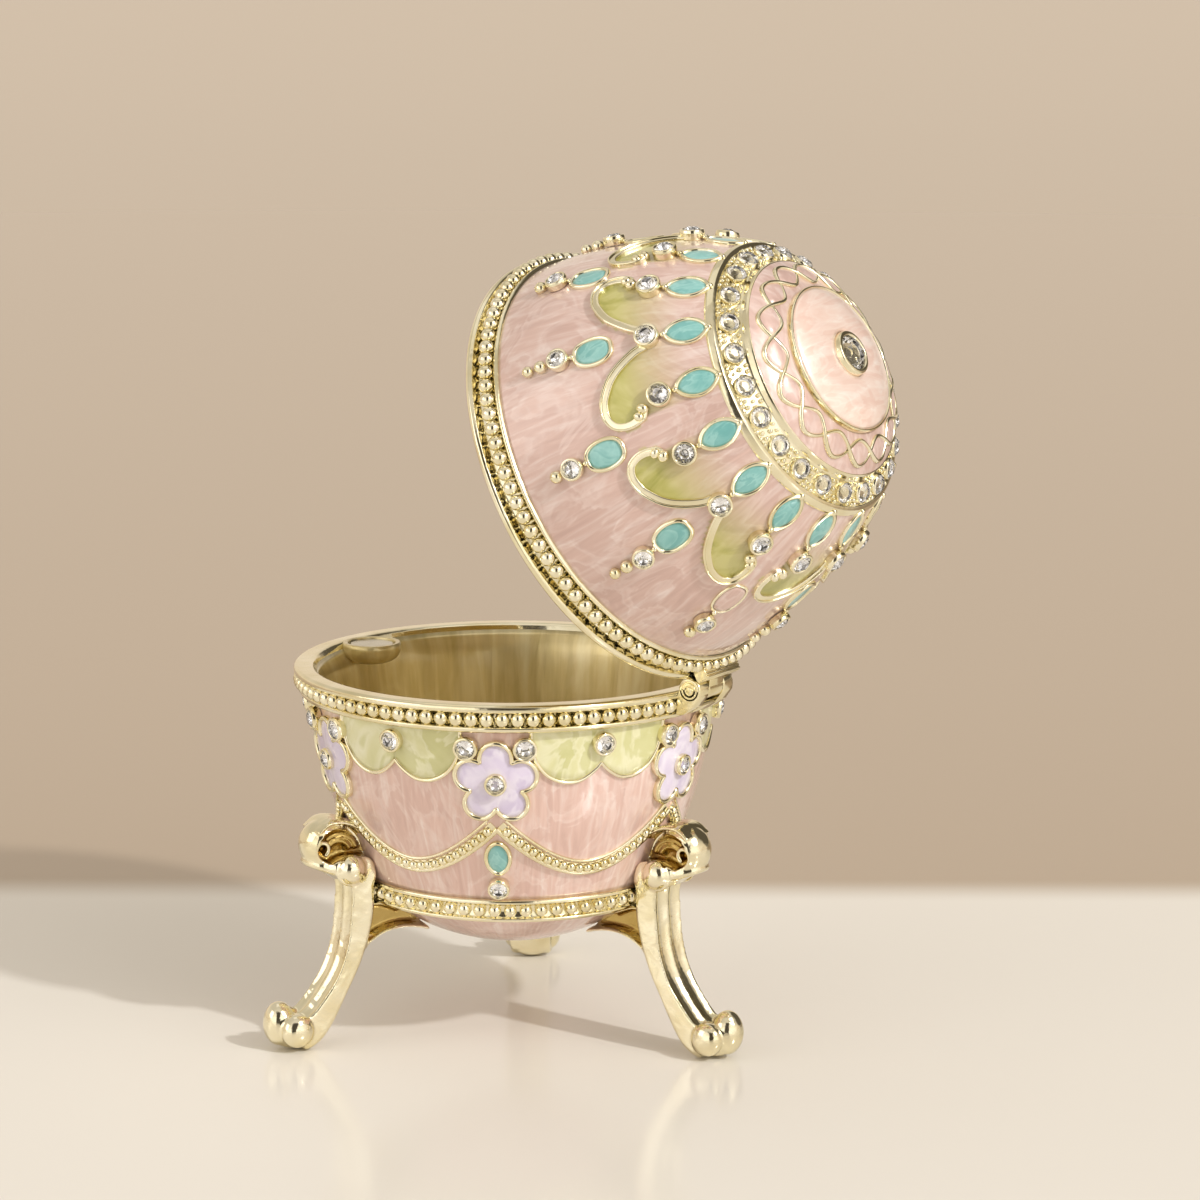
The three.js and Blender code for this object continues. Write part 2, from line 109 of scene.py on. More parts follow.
def addRamp(tree, fac, stops):
    node = addNode(tree, "ShaderNodeValToRGB", {"Fac": fac})
    ramp = node.color_ramp
    while len(ramp.elements) < len(stops):
        ramp.elements.new(0.5)
    for element, (place, colour) in zip(ramp.elements, stops):
        element.position = place
        element.color = (*colour, 1)
    return node.outputs["Color"]


def mixColour(tree, fac, a, b):
    node = addNode(tree, "ShaderNodeMix", data_type="RGBA")
    for socket, value in ((node.inputs[0], fac), (node.inputs[6], a), (node.inputs[7], b)):
        if isinstance(value, bpy.types.NodeSocket):
            tree.links.new(value, socket)
        else:
            socket.default_value = value if isinstance(value, (int, float)) else (*value, 1)
    return node.outputs[2]


def addNoise(tree, vector, scale, detail=4, distortion=0.0, stretch=(1, 1, 1)):
    mapping = addNode(tree, "ShaderNodeMapping", {"Vector": vector, "Scale": stretch})
    noise = addNode(tree, "ShaderNodeTexNoise", {
        "Vector": mapping.outputs[0], "Scale": scale, "Detail": detail, "Distortion": distortion})
    return noise.outputs["Fac"]


def addBump(tree, height, strength, distance, under=None):
    inputs = {"Height": height, "Strength": strength, "Distance": distance}
    if under is not None:
        inputs["Normal"] = under
    return addNode(tree, "ShaderNodeBump", inputs).outputs[0]


def objectCoords(tree):
    return addNode(tree, "ShaderNodeTexCoord").outputs["Object"]


def skinCoords(tree):
    return addNode(tree, "ShaderNodeAttribute", attribute_name="skin").outputs["Vector"]


def giltMaterial(name, colour, rough, grain=900, bump=0.08, wobble=0.2):
    # grain is the scale of the fine marks, wobble how uneven the casting is.
    mat, tree, shader = newMaterial(name, Metallic=1.0)
    coords = objectCoords(tree)
    cloud = addNoise(tree, coords, 160, 3)
    fine = addNoise(tree, coords, grain, 4)
    dark = tuple(c * k for c, k in zip(colour, (0.86, 0.82, 0.68)))
    tree.links.new(addRamp(tree, cloud, [(0.3, dark), (0.62, colour)]), shader.inputs["Base Color"])
    rougher = addNode(tree, "ShaderNodeMapRange", {"Value": fine, "To Min": rough * 0.7, "To Max": rough * 1.5})
    tree.links.new(rougher.outputs[0], shader.inputs["Roughness"])
    uneven = addBump(tree, addNoise(tree, coords, 230, 2, 0.6), wobble, 0.0006)
    tree.links.new(addBump(tree, fine, bump, 0.0002, uneven), shader.inputs["Normal"])
    return mat


def enamelMaterial(name, look):
    # Pearly enamel: brushed streaks down the egg, slow swirls, a clear glossy top.
    mat, tree, shader = newMaterial(name, Roughness=look["rough"], Metallic=look.get("pearl", 0.0))
    shader.inputs["Coat Weight"].default_value = 1.0
    shader.inputs["Coat Roughness"].default_value = 0.04
    coords = skinCoords(tree)
    streaks = addNoise(tree, coords, look["streaks"], 5, 0.9, (1, 1, look["along"]))
    swirls = addNoise(tree, coords, look["swirls"], 3, 2.2, (1, 1, 0.7))
    base = addRamp(tree, streaks, [(0.32, look["deep"]), (0.52, look["main"]), (0.72, look["light"])])
    veins = addRamp(tree, swirls, [(0.40, look["main"]), (0.5, look["light"]), (0.56, look["deep"])])
    colour = mixColour(tree, look.get("veins", 0.35), base, veins)
    if "tint" in look:  # a second colour where the mesh asks for it
        tint = addNode(tree, "ShaderNodeAttribute", attribute_name="tint").outputs["Fac"]
        second = addRamp(tree, swirls, list(zip((0.36, 0.5, 0.64), look["tint"])))
        colour = mixColour(tree, tint, colour, second)
    tree.links.new(colour, shader.inputs["Base Color"])
    height = mixColour(tree, 0.4, streaks, swirls)
    tree.links.new(addBump(tree, height, look["bump"], 0.0003), shader.inputs["Normal"])
    coat = addBump(tree, addNoise(tree, coords, 0.5, 2, 0.5), 0.15, 0.0004)
    tree.links.new(coat, shader.inputs["Coat Normal"])
    return mat


paleGold = (0.95, 0.89, 0.68)
gilt = giltMaterial("polished_gilt", paleGold, 0.10)
castGilt = giltMaterial("cast_gilt", paleGold, 0.08, 700, 0.3, 0.6)
insideGilt = giltMaterial("hinge_gilt", (0.90, 0.82, 0.56), 0.16)
# Dark brown gold for the legs' hollows: painted shade where the hood and the bracket web lie in shadow, not the
# metal's own tone.
hollowShadeGilt = giltMaterial("hollow_painted_shade_gilt", (0.50, 0.36, 0.13), 0.16, 500, 0.3)
pinkFinish = {"rough": 0.34, "pearl": 0.12, "streaks": 0.9, "along": 0.14, "swirls": 0.15, "bump": 0.22}
bowlPink = enamelMaterial("bowl_pink_enamel", {
    "deep": (0.69, 0.46, 0.40), "main": (0.80, 0.56, 0.49), "light": (0.91, 0.76, 0.71), **pinkFinish})
# The lid's pink is the bowl's pink enamel made about a tenth darker all over: painted shade on the lid, which is the
# same enamel. Its crescent tint is the enamel's real yellow-green.
lidPinkShaded = enamelMaterial("lid_pink_enamel_painted_shade", {
    "deep": (0.61, 0.41, 0.36), "main": (0.71, 0.50, 0.44), "light": (0.84, 0.70, 0.66), **pinkFinish,
    "tint": ((0.38, 0.37, 0.07), (0.50, 0.47, 0.13), (0.60, 0.56, 0.22))})  # yellow-green of the crescents
discEnamel = enamelMaterial("disc_enamel", {
    "deep": (0.84, 0.60, 0.51), "main": (0.90, 0.69, 0.60), "light": (0.97, 0.86, 0.79), "rough": 0.3,
    "pearl": 0.12, "streaks": 0.7, "along": 1, "swirls": 0.3, "bump": 0.2})
greenEnamel = enamelMaterial("green_enamel", {
    "deep": (0.62, 0.61, 0.28), "main": (0.75, 0.73, 0.41), "light": (0.86, 0.84, 0.60), "rough": 0.3,
    "streaks": 0.22, "along": 0.8, "swirls": 0.14, "veins": 0.6, "bump": 0.12})
lilacEnamel = enamelMaterial("lilac_enamel", {
    "deep": (0.61, 0.53, 0.73), "main": (0.76, 0.68, 0.86), "light": (0.87, 0.82, 0.93), "rough": 0.3,
    "streaks": 0.3, "along": 0.9, "swirls": 0.12, "veins": 0.5, "bump": 0.12})
blueEnamel = enamelMaterial("turquoise_enamel", {
    "deep": (0.15, 0.42, 0.41), "main": (0.22, 0.51, 0.49), "light": (0.35, 0.64, 0.61), "rough": 0.28,
    "streaks": 0.4, "along": 0.9, "swirls": 0.3, "veins": 0.5, "bump": 0.1})


def liningMaterial():
    # The inside: tinted lacquer brushed on in upright strokes.
    mat, tree, shader = newMaterial("lining_lacquer", Metallic=0.5, Roughness=0.3)
    shader.inputs["Coat Weight"].default_value = 0.6
    shader.inputs["Coat Roughness"].default_value = 0.12
    coords = skinCoords(tree)
    strokes = addNoise(tree, coords, 0.5, 6, 0.3, (1, 1, 0.12))
    patches = addNoise(tree, coords, 0.16, 3, 0.8, (1, 1, 0.5))
    colour = addRamp(tree, strokes, [
        (0.34, (0.58, 0.46, 0.19)), (0.5, (0.78, 0.64, 0.31)), (0.68, (0.94, 0.84, 0.52))])
    pale = addRamp(tree, patches, [(0.45, (0.66, 0.53, 0.23)), (0.68, (0.94, 0.84, 0.55))])
    tree.links.new(mixColour(tree, 0.35, colour, pale), shader.inputs["Base Color"])
    tree.links.new(addBump(tree, strokes, 0.35, 0.0003), shader.inputs["Normal"])
    return mat


lining = liningMaterial()


def stoneMaterials():
    glass, tree, shader = newMaterial("clear_stone", Roughness=0.01, IOR=1.62)
    shader.inputs["Transmission Weight"].default_value = 1.0
    cloud = addNoise(tree, objectCoords(tree), 300, 2)
    clear = addRamp(tree, cloud, [(0.3, (0.93, 0.93, 0.95)), (0.7, (0.99, 0.99, 0.99))])
    tree.links.new(clear, shader.inputs["Base Color"])
    foil, tree, shader = newMaterial("stone_foil", Metallic=1.0, Roughness=0.12)
    cloud = addNoise(tree, objectCoords(tree), 2600, 2)
    silver = addRamp(tree, cloud, [(0.35, (0.42, 0.42, 0.43)), (0.6, (0.92, 0.92, 0.93))])
    tree.links.new(silver, shader.inputs["Base Color"])
    return glass, foil


clearStone, stoneFoil = stoneMaterials()
steel = giltMaterial("magnet_plating", (0.70, 0.69, 0.66), 0.22)
print("materials made")


# Outlines and skins
def smoothLine(points, step, closed=False):
    # A Catmull-Rom curve through the points, evenly spaced.
    pts = np.array(points, float)
    count = len(pts)
    out = []
    for i in range(count if closed else count - 1):
        if closed:
            p = [pts[(i + k) % count] for k in (-1, 0, 1, 2)]
        else:
            p = [pts[i - 1] if i else 2 * pts[0] - pts[1], pts[i], pts[i + 1],
                 pts[i + 2] if i + 2 < count else 2 * pts[-1] - pts[-2]]
        for t in np.linspace(0, 1, 16, endpoint=False):
            out.append(0.5 * (2 * p[1] + (p[2] - p[0]) * t + (2 * p[0] - 5 * p[1] + 4 * p[2] - p[3]) * t * t
                              + (3 * p[1] - p[0] - 3 * p[2] + p[3]) * t ** 3))
    out.append(out[0] if closed else pts[-1])
    out = np.array(out)
    length = np.concatenate([[0], np.cumsum(np.linalg.norm(np.diff(out, axis=0), axis=1))])
    n = max(2, int(round(length[-1] / step)))
    spots = np.linspace(0, length[-1], n + 1)
    if closed:
        spots = spots[:-1]
    return np.stack([np.interp(spots, length, out[:, k]) for k in range(out.shape[1])], axis=1)


def rounded(profile, radius, steps=3):
    # The same line with each inner corner cut to a small arc.
    pts = [np.array(p, float) for p in profile]
    out = [pts[0]]
    for before, corner, after in zip(pts, pts[1:], pts[2:]):
        a, b = before - corner, after - corner
        reach = min(radius, np.linalg.norm(a) * 0.45, np.linalg.norm(b) * 0.45)
        a, b = corner + a / np.linalg.norm(a) * reach, corner + b / np.linalg.norm(b) * reach
        for i in range(steps + 1):
            t = i / steps
            out.append((1 - t) ** 2 * a + 2 * t * (1 - t) * corner + t * t * b)
    out.append(pts[-1])
    return out


def makeSkin(points, lift=0.0):
    line = smoothLine(points, 0.25)
    slope = np.gradient(line, axis=0)
    slope /= np.linalg.norm(slope, axis=1)[:, None]
    return {"r": line[:, 0], "z": line[:, 1] + lift, "nr": slope[:, 1], "nz": -slope[:, 0]}


bowlPoints = [(17.4, 17.4), (20.2, 21.4), (22.2, 26.6), (24.0, 31.7), (25.2, 36.8), (25.9, 42.0),
              (26.3, 45.2)]
lidPoints = [(26.9, 3.6), (26.3, 8.0), (25.5, 12.0), (24.3, 16.0), (22.8, 20.5), (20.7, 25.0),
             (18.2, 29.3), (17.5, 30.3)]  # heights above the lid's own rim
bowlSkin = makeSkin(bowlPoints)
lidSkin = makeSkin(lidPoints, lidPlane)


def wrap(skin, flat, azimuth=0.0):
    # flat holds (across, height, out) in mm; the result lies on the skin round that azimuth.
    x, y, out = flat[:, 0], flat[:, 1], flat[:, 2]
    r = np.interp(y, skin["z"], skin["r"])
    nr, nz = np.interp(y, skin["z"], skin["nr"]), np.interp(y, skin["z"], skin["nz"])
    angle = math.radians(azimuth + 90) + x / r
    far = r + out * nr
    return np.stack([far * np.cos(angle), far * np.sin(angle) + axisY, y + out * nz], axis=1)


def degreesAcross(skin, height, degrees):
    return math.radians(degrees) * float(np.interp(height, skin["z"], skin["r"]))


# Mesh collectors: one for each finished piece
def newPiece():
    return {"verts": [], "faces": [], "mats": [], "skin": [], "tint": [], "count": 0}


def addMesh(piece, verts, faces, slot=0, skin=None, tint=None):
    verts = np.asarray(verts, float)
    start = piece["count"]
    piece["verts"].append(verts)
    piece["faces"] += [tuple(start + i for i in f) for f in faces]
    piece["mats"] += [slot] * len(faces)
    piece["skin"].append(np.zeros_like(verts) if skin is None else skin)
    piece["tint"].append(np.zeros(len(verts)) if tint is None else tint)
    piece["count"] += len(verts)


def finishPiece(piece, name, body, materials, replaces=(), sharp=None):
    verts = np.concatenate(piece["verts"]) * mm
    mesh = bpy.data.meshes.new(name)
    mesh.from_pydata(verts.tolist(), [], piece["faces"])
    for mat in materials:
        mesh.materials.append(mat)
    mesh.polygons.foreach_set("material_index", piece["mats"])
    skin = mesh.attributes.new("skin", "FLOAT_VECTOR", "POINT")
    skin.data.foreach_set("vector", np.concatenate(piece["skin"]).ravel())
    tint = mesh.attributes.new("tint", "FLOAT", "POINT")
    tint.data.foreach_set("value", np.concatenate(piece["tint"]))
    mesh.validate()
    mesh.shade_smooth()
    if sharp:
        mesh.set_sharp_from_angle(angle=math.radians(sharp))
    if body == "lid":
        mesh.transform(openLid)
    obj = bpy.data.objects.new(name, mesh)
    bpy.context.scene.collection.objects.link(obj)
    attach(obj, body)
    if replaces:
        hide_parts(*replaces)
    print(name, len(piece["faces"]), "faces")


def lathe(profile, segments, closed=False):
    # Turns (r, z) points round the egg's axis. A point on the axis is a pole.
    verts, faces, rings = [], [], []
    for r, z in profile:
        if r < 1e-6:
            rings.append([len(verts)])
            verts.append((0, axisY, z))
        else:
            rings.append(list(range(len(verts), len(verts) + segments)))
            for k in range(segments):
                a = 2 * math.pi * k / segments
                verts.append((r * math.cos(a), axisY + r * math.sin(a), z))
    pairs = list(zip(rings, rings[1:])) + ([(rings[-1], rings[0])] if closed else [])
    for low, high in pairs:
        for k in range(segments):
            n = (k + 1) % segments
            if len(low) == len(high) == 1:
                break
            if len(low) == 1:
                faces.append((low[0], high[n], high[k]))
            elif len(high) == 1:
                faces.append((low[k], low[n], high[0]))
            else:
                faces.append((low[k], low[n], high[n], high[k]))
    return np.array(verts), faces


def skinAttribute(verts, along):
    # Where a pattern lies: round the egg at a steady radius, and the way along the profile.
    angle = np.arctan2(verts[:, 1] - axisY, verts[:, 0])
    return np.stack([25 * np.cos(angle), 25 * np.sin(angle), along], axis=1)


def latheSkin(profile, segments):
    pts = np.array(profile, float)
    way = np.concatenate([[0], np.cumsum(np.linalg.norm(np.diff(pts, axis=0), axis=1))])
    along = []
    for (r, z), s in zip(profile, way):
        along += [s] * (1 if r < 1e-6 else segments)
    return np.array(along)


def addLathe(piece, profile, segments, closed=False, tint=None):
    verts, faces = lathe(profile, segments, closed)
    skin = skinAttribute(verts, latheSkin(profile, segments))
    addMesh(piece, verts, faces, skin=skin, tint=None if tint is None else tint(verts))


def shellProfile(outer, thick):
    # A closed section: the outer line and the same line moved in.
    pts = np.array(outer, float)
    slope = np.gradient(pts, axis=0)
    slope /= np.linalg.norm(slope, axis=1)[:, None]
    inner = pts + np.stack([-slope[:, 1], slope[:, 0]], axis=1) * thick
    return [tuple(p) for p in pts] + [tuple(p) for p in inner[::-1]]


# Geometry Nodes
def newTree(name, inputs):
    tree = bpy.data.node_groups.new(name, "GeometryNodeTree")
    tree.interface.new_socket("Geometry", in_out="INPUT", socket_type="NodeSocketGeometry")
    for label, kind, value in inputs:
        socket = tree.interface.new_socket(label, in_out="INPUT", socket_type=kind)
        if value is not None:
            socket.default_value = value
    tree.interface.new_socket("Geometry", in_out="OUTPUT", socket_type="NodeSocketGeometry")
    return tree, tree.nodes.new("NodeGroupInput"), tree.nodes.new("NodeGroupOutput")


def endTree(tree, source, given, out):
    real = addNode(tree, "GeometryNodeRealizeInstances", {"Geometry": source})
    painted = addNode(tree, "GeometryNodeSetMaterial", {
        "Geometry": real.outputs[0], "Material": given.outputs["Material"]})
    tree.links.new(painted.outputs[0], out.inputs[0])
    return tree


def beadTree():
    # Round beads in a row along a curve.
    tree, given, out = newTree("bead_row", [
        ("Count", "NodeSocketInt", 12), ("Radius", "NodeSocketFloat", 1.0),
        ("Material", "NodeSocketMaterial", None)])
    spots = addNode(tree, "GeometryNodeResampleCurve", {
        "Curve": given.outputs["Geometry"], "Count": given.outputs["Count"]})
    ball = addNode(tree, "GeometryNodeMeshUVSphere", {
        "Segments": 10, "Rings": 7, "Radius": given.outputs["Radius"]})
    row = addNode(tree, "GeometryNodeInstanceOnPoints", {"Points": spots.outputs[0], "Instance": ball.outputs[0]})
    return endTree(tree, row.outputs[0], given, out)


def ridgeTree():
    # A raised bar that follows flat outlines; Round is the radius of its edges.
    tree, given, out = newTree("ridge", [
        ("Width", "NodeSocketFloat", 0.6), ("Height", "NodeSocketFloat", 0.5),
        ("Round", "NodeSocketFloat", 0.3), ("Material", "NodeSocketMaterial", None)])
    level = addNode(tree, "GeometryNodeSetCurveNormal", {"Curve": given.outputs["Geometry"]}, mode="Z_UP")
    twice = addNode(tree, "ShaderNodeMath", {0: given.outputs["Height"], 1: 2.0}, operation="MULTIPLY")
    bar = addNode(tree, "GeometryNodeCurvePrimitiveQuadrilateral", {
        "Width": given.outputs["Width"], "Height": twice.outputs[0]})
    section = addNode(tree, "GeometryNodeFilletCurve", {
        "Curve": bar.outputs[0], "Radius": given.outputs["Round"], "Limit Radius": True, "Count": 3}, mode="POLY")
    swept = addNode(tree, "GeometryNodeCurveToMesh", {
        "Curve": level.outputs[0], "Profile Curve": section.outputs[0], "Fill Caps": True})
    return endTree(tree, swept.outputs[0], given, out)


def stoneTree():
    # The same object on each point, its height along the point's own direction.
    tree, given, out = newTree("set_stones", [
        ("Stone", "NodeSocketObject", None), ("Material", "NodeSocketMaterial", None)])
    thing = addNode(tree, "GeometryNodeObjectInfo", {"Object": given.outputs["Stone"]}, transform_space="ORIGINAL")
    facing = addNode(tree, "GeometryNodeInputNamedAttribute", {"Name": "facing"}, data_type="FLOAT_VECTOR")
    turn = addNode(tree, "FunctionNodeAlignRotationToVector", {"Vector": facing.outputs[0]}, axis="Z")
    size = addNode(tree, "GeometryNodeInputNamedAttribute", {"Name": "size"}, data_type="FLOAT")
    placed = addNode(tree, "GeometryNodeInstanceOnPoints", {
        "Points": given.outputs["Geometry"], "Instance": thing.outputs["Geometry"],
        "Rotation": turn.outputs[0], "Scale": size.outputs[0]})
    return endTree(tree, placed.outputs[0], given, out)


trees = {"beads": beadTree(), "ridge": ridgeTree(), "stones": stoneTree()}


def runTree(data, tree, values):
    # Evaluates the tree on a throwaway object and gives back plain vertices and faces.
    obj = bpy.data.objects.new("work", data)
    bpy.context.scene.collection.objects.link(obj)
    modifier = obj.modifiers.new("nodes", "NODES")
    modifier.node_group = tree
    for item in tree.interface.items_tree:
        if item.in_out == "INPUT" and item.name in values:
            modifier[item.identifier] = values[item.name]
    depsgraph = bpy.context.evaluated_depsgraph_get()
    mesh = bpy.data.meshes.new_from_object(obj.evaluated_get(depsgraph), depsgraph=depsgraph)
    verts = np.empty(len(mesh.vertices) * 3)
    mesh.vertices.foreach_get("co", verts)
    faces = [tuple(p.vertices) for p in mesh.polygons]
    obj.modifiers.remove(modifier)
    bpy.data.objects.remove(obj)
    bpy.data.meshes.remove(mesh)
    return verts.reshape(-1, 3), faces


def flatCurve(lines, closed):
    data = bpy.data.curves.new("line", "CURVE")
    data.dimensions = "3D"
    for line in lines:
        spline = data.splines.new("POLY")
        spline.points.add(len(line) - 1)
        for point, spot in zip(spline.points, line):
            point.co = (spot[0], spot[1], spot[2] if len(spot) > 2 else 0, 1)
        spline.use_cyclic_u = closed
    return data


def ridge(lines, width, height, closed=False, edge=0.3):
    values = {"Width": width, "Height": height, "Round": edge, "Material": gilt}
    return runTree(flatCurve(lines, closed), trees["ridge"], values)


def beads(line, count, radius, closed=False):
    values = {"Count": count, "Radius": radius, "Material": gilt}
    return runTree(flatCurve([line], closed), trees["beads"], values)


def oneBead(x, y, out, radius):
    return beads([(x, y, out), (x + 0.01, y, out)], 1, radius)


def addWrapped(piece, skin, flat, azimuths, patterned=False):
    verts, faces = flat
    for azimuth in azimuths:
        placed = wrap(skin, verts, azimuth)
        addMesh(piece, placed, faces, skin=skinAttribute(placed, placed[:, 2]) if patterned else None)


def offsetLine(line, side):
    # The flat line moved sideways; the left of its run is positive.
    slope = np.gradient(line[:, :2], axis=0)
    slope /= np.linalg.norm(slope, axis=1)[:, None]
    return line[:, :2] + np.stack([-slope[:, 1], slope[:, 0]], axis=1) * side


def fillCell(outline, level, dome, rings=6, wall=0.5):
    # A closed pad of enamel inside a flat outline that can be seen whole from its middle.
    outline = np.asarray(outline)[:, :2]
    middle = outline.mean(axis=0)
    count = len(outline)
    verts = [(x, y, level - wall) for x, y in outline]
    for k in range(rings):
        t = 1 - k / rings
        verts += [(x, y, level + dome * (1 - t * t)) for x, y in middle + (outline - middle) * t]
    verts += [(*middle, level + dome), (*middle, level - wall)]
    faces = []
    for k in range(rings):
        for i in range(count):
            n = (i + 1) % count
            faces.append((k * count + i, k * count + n, (k + 1) * count + n, (k + 1) * count + i))
    top, under = len(verts) - 2, len(verts) - 1
    for i in range(count):
        n = (i + 1) % count
        faces.append((rings * count + i, rings * count + n, top))
        faces.append((n, i, under))
    return np.array(verts, float), faces


def ellipseLine(width, height, point=0.0, count=40):
    # An oval; point draws its two ends out.
    out = []
    for i in range(count):
        a = 2 * math.pi * i / count
        pull = abs(math.cos(a)) ** (1 + point)
        out.append((math.copysign(pull, math.cos(a)) * width / 2, math.sin(a) * height / 2))
    return np.array(out)


# Stones
def facetRing(bm, radius, height, count, turn=0.0):
    angles = [2 * math.pi * (i + turn) / count for i in range(count)]
    return [bm.verts.new((radius * math.cos(a), radius * math.sin(a), height)) for a in angles]


def brilliant():
    # A round stone of radius 1: table, crown and pavilion facets.
    bm = bmesh.new()
    table = facetRing(bm, 0.56, 0.42, 8)
    crown = facetRing(bm, 0.80, 0.27, 8, 0.5)
    girdle = facetRing(bm, 1, 0.04, 16)
    low = facetRing(bm, 1, -0.04, 16)
    culet = bm.verts.new((0, 0, -0.72))
    bm.faces.new(table)
    for i in range(8):
        n = (i + 1) % 8
        bm.faces.new((table[i], crown[i], table[n]))
        bm.faces.new((table[i], crown[i - 1], girdle[2 * i], crown[i]))
        bm.faces.new((crown[i], girdle[2 * i], girdle[2 * i + 1]))
        bm.faces.new((crown[i], girdle[2 * i + 1], girdle[(2 * i + 2) % 16]))
        bm.faces.new((low[2 * i], culet, low[2 * i + 1]))
        bm.faces.new((low[2 * i + 1], culet, low[(2 * i + 2) % 16]))
    for i in range(16):
        n = (i + 1) % 16
        bm.faces.new((girdle[i], low[i], low[n], girdle[n]))
    bmesh.ops.recalc_face_normals(bm, faces=bm.faces)
    mesh = bpy.data.meshes.new("brilliant")
    bm.to_mesh(mesh)
    bm.free()
    return mesh


def turnedMesh(name, profile, segments):
    verts, faces = lathe(profile, segments, True)
    mesh = bpy.data.meshes.new(name)
    mesh.from_pydata((verts - (0, axisY, 0)).tolist(), [], faces)
    return mesh


def unitBall(segments, rings):
    bm = bmesh.new()
    bmesh.ops.create_uvsphere(bm, u_segments=segments, v_segments=rings, radius=1)
    verts = np.array([v.co[:] for v in bm.verts])
    faces = [tuple(v.index for v in f.verts) for f in bm.faces]
    bm.free()
    return verts, faces


def ballMesh(name, segments, rings):
    verts, faces = unitBall(segments, rings)
    mesh = bpy.data.meshes.new(name)
    mesh.from_pydata(verts.tolist(), [], faces)
    return mesh


# Profiles for a stone of radius 1: the foil under it, the setting round it down to the skin, a low collar
foilSection = [(0.02, -0.76), (1.02, -0.05), (1.02, -0.14), (0.02, -0.86)]
settingSection = rounded([(1.06, -0.95), (1.30, -0.95), (1.38, -0.2), (1.30, 0.14), (1.10, 0.20),
                          (0.985, 0.03), (1.04, -0.3), (1.06, -0.95)], 0.07)[:-1]
collarSection = [(1.0, -0.6), (1.14, -0.6), (1.16, -0.05), (1.08, 0.03), (1.0, -0.03)]
stoneParts = {"glass": brilliant(), "grain": ballMesh("grain", 8, 5),
              "foil": turnedMesh("foil", foilSection, 16),
              "collar": turnedMesh("collar", collarSection, 20),
              "setting": turnedMesh("setting", settingSection, 28)}


def addSet(piece, part, spots):
    # spots: (place, facing, size) in mm; a copy of the part is set at each.
    thing = bpy.data.objects.new("stone", stoneParts[part])
    bpy.context.scene.collection.objects.link(thing)
    data = bpy.data.meshes.new("spots")
    data.from_pydata([tuple(p) for p, n, s in spots], [], [])
    facing = data.attributes.new("facing", "FLOAT_VECTOR", "POINT")
    facing.data.foreach_set("vector", np.array([n for p, n, s in spots]).ravel())
    size = data.attributes.new("size", "FLOAT", "POINT")
    size.data.foreach_set("value", [s for p, n, s in spots])
    verts, faces = runTree(data, trees["stones"], {"Stone": thing, "Material": clearStone})
    bpy.data.objects.remove(thing)
    addMesh(piece, verts, faces)


def addStones(name, body, spots, nodes):
    for part, end, mat, stoodFor, sharp in (("glass", "", clearStone, nodes, 1),
                                            ("foil", "_foils", stoneFoil, (), 30)):
        piece = newPiece()
        addSet(piece, part, spots)
        finishPiece(piece, name + end, body, [mat], stoodFor, sharp)


def crystalNodes(*kinds):
    starts = tuple("crystal_" + kind for kind in kinds)
    return [n for n in frame["nodes"] if n.startswith(starts)]


def skinSpot(skin, azimuth, height, out, size):
    low, high = wrap(skin, np.array([[0, height, out], [0, height, out + 1]]), azimuth)
    return low, high - low, size


# Bowl
bowl = {"wall": 0.35,
        "rim": {"beads": 90, "bead": 0.965, "radius": 27.6, "height": 46.2},
        "ring": {"beads": 64, "bead": 0.84, "radius": 20.05, "height": 19.85},
        "flower": {"height": 37.75, "petals": 5, "centre": 3.25, "petal": 2.0, "line": 0.6, "proud": 0.85,
                   "level": 0.5},
        "oval": {"height": 27.4, "width": 2.6, "tall": 3.9, "point": 0.1, "line": 0.55},
        "scallop": {"top": 45.0, "level": 0.22, "line": 0.5},
        "swag": {"sag": 25.75, "rise": 6.4, "curve": 1.9, "reach": 28.6, "steps": 57, "beads": 23, "bead": 0.6,
                 "bed": -0.25, "lines": ((0.704, 0.32, 0.34), (-0.88, 0.62, 0.5), (-0.25, 1.2, 0.14))},
        # each stone's height, distance out from the skin, and radius
        "heartStone": (37.75, 1.15, 1.05), "sideStone": (42.35, 1.15, 1.15), "sideTurn": 8.0,
        "scallopStone": (42.5, 1.1, 1.12), "dropStone": (23.35, 1.0, 1.05)}
scallopEdge = [(9.7, 44.9), (9.7, 43.2), (10.3, 41.6), (11.6, 40.1), (14.2, 38.7), (17.6, 37.85), (20.6, 37.6),
               (23.6, 37.75), (26.4, 38.4), (28.6, 39.2), (30.0, 39.9)]  # (degrees from a flower, height)
flowerTurns = [60 * k for k in range(6)]
scallopTurns = [t + 30 for t in flowerTurns]
dropTurns = [60, 180, 300]


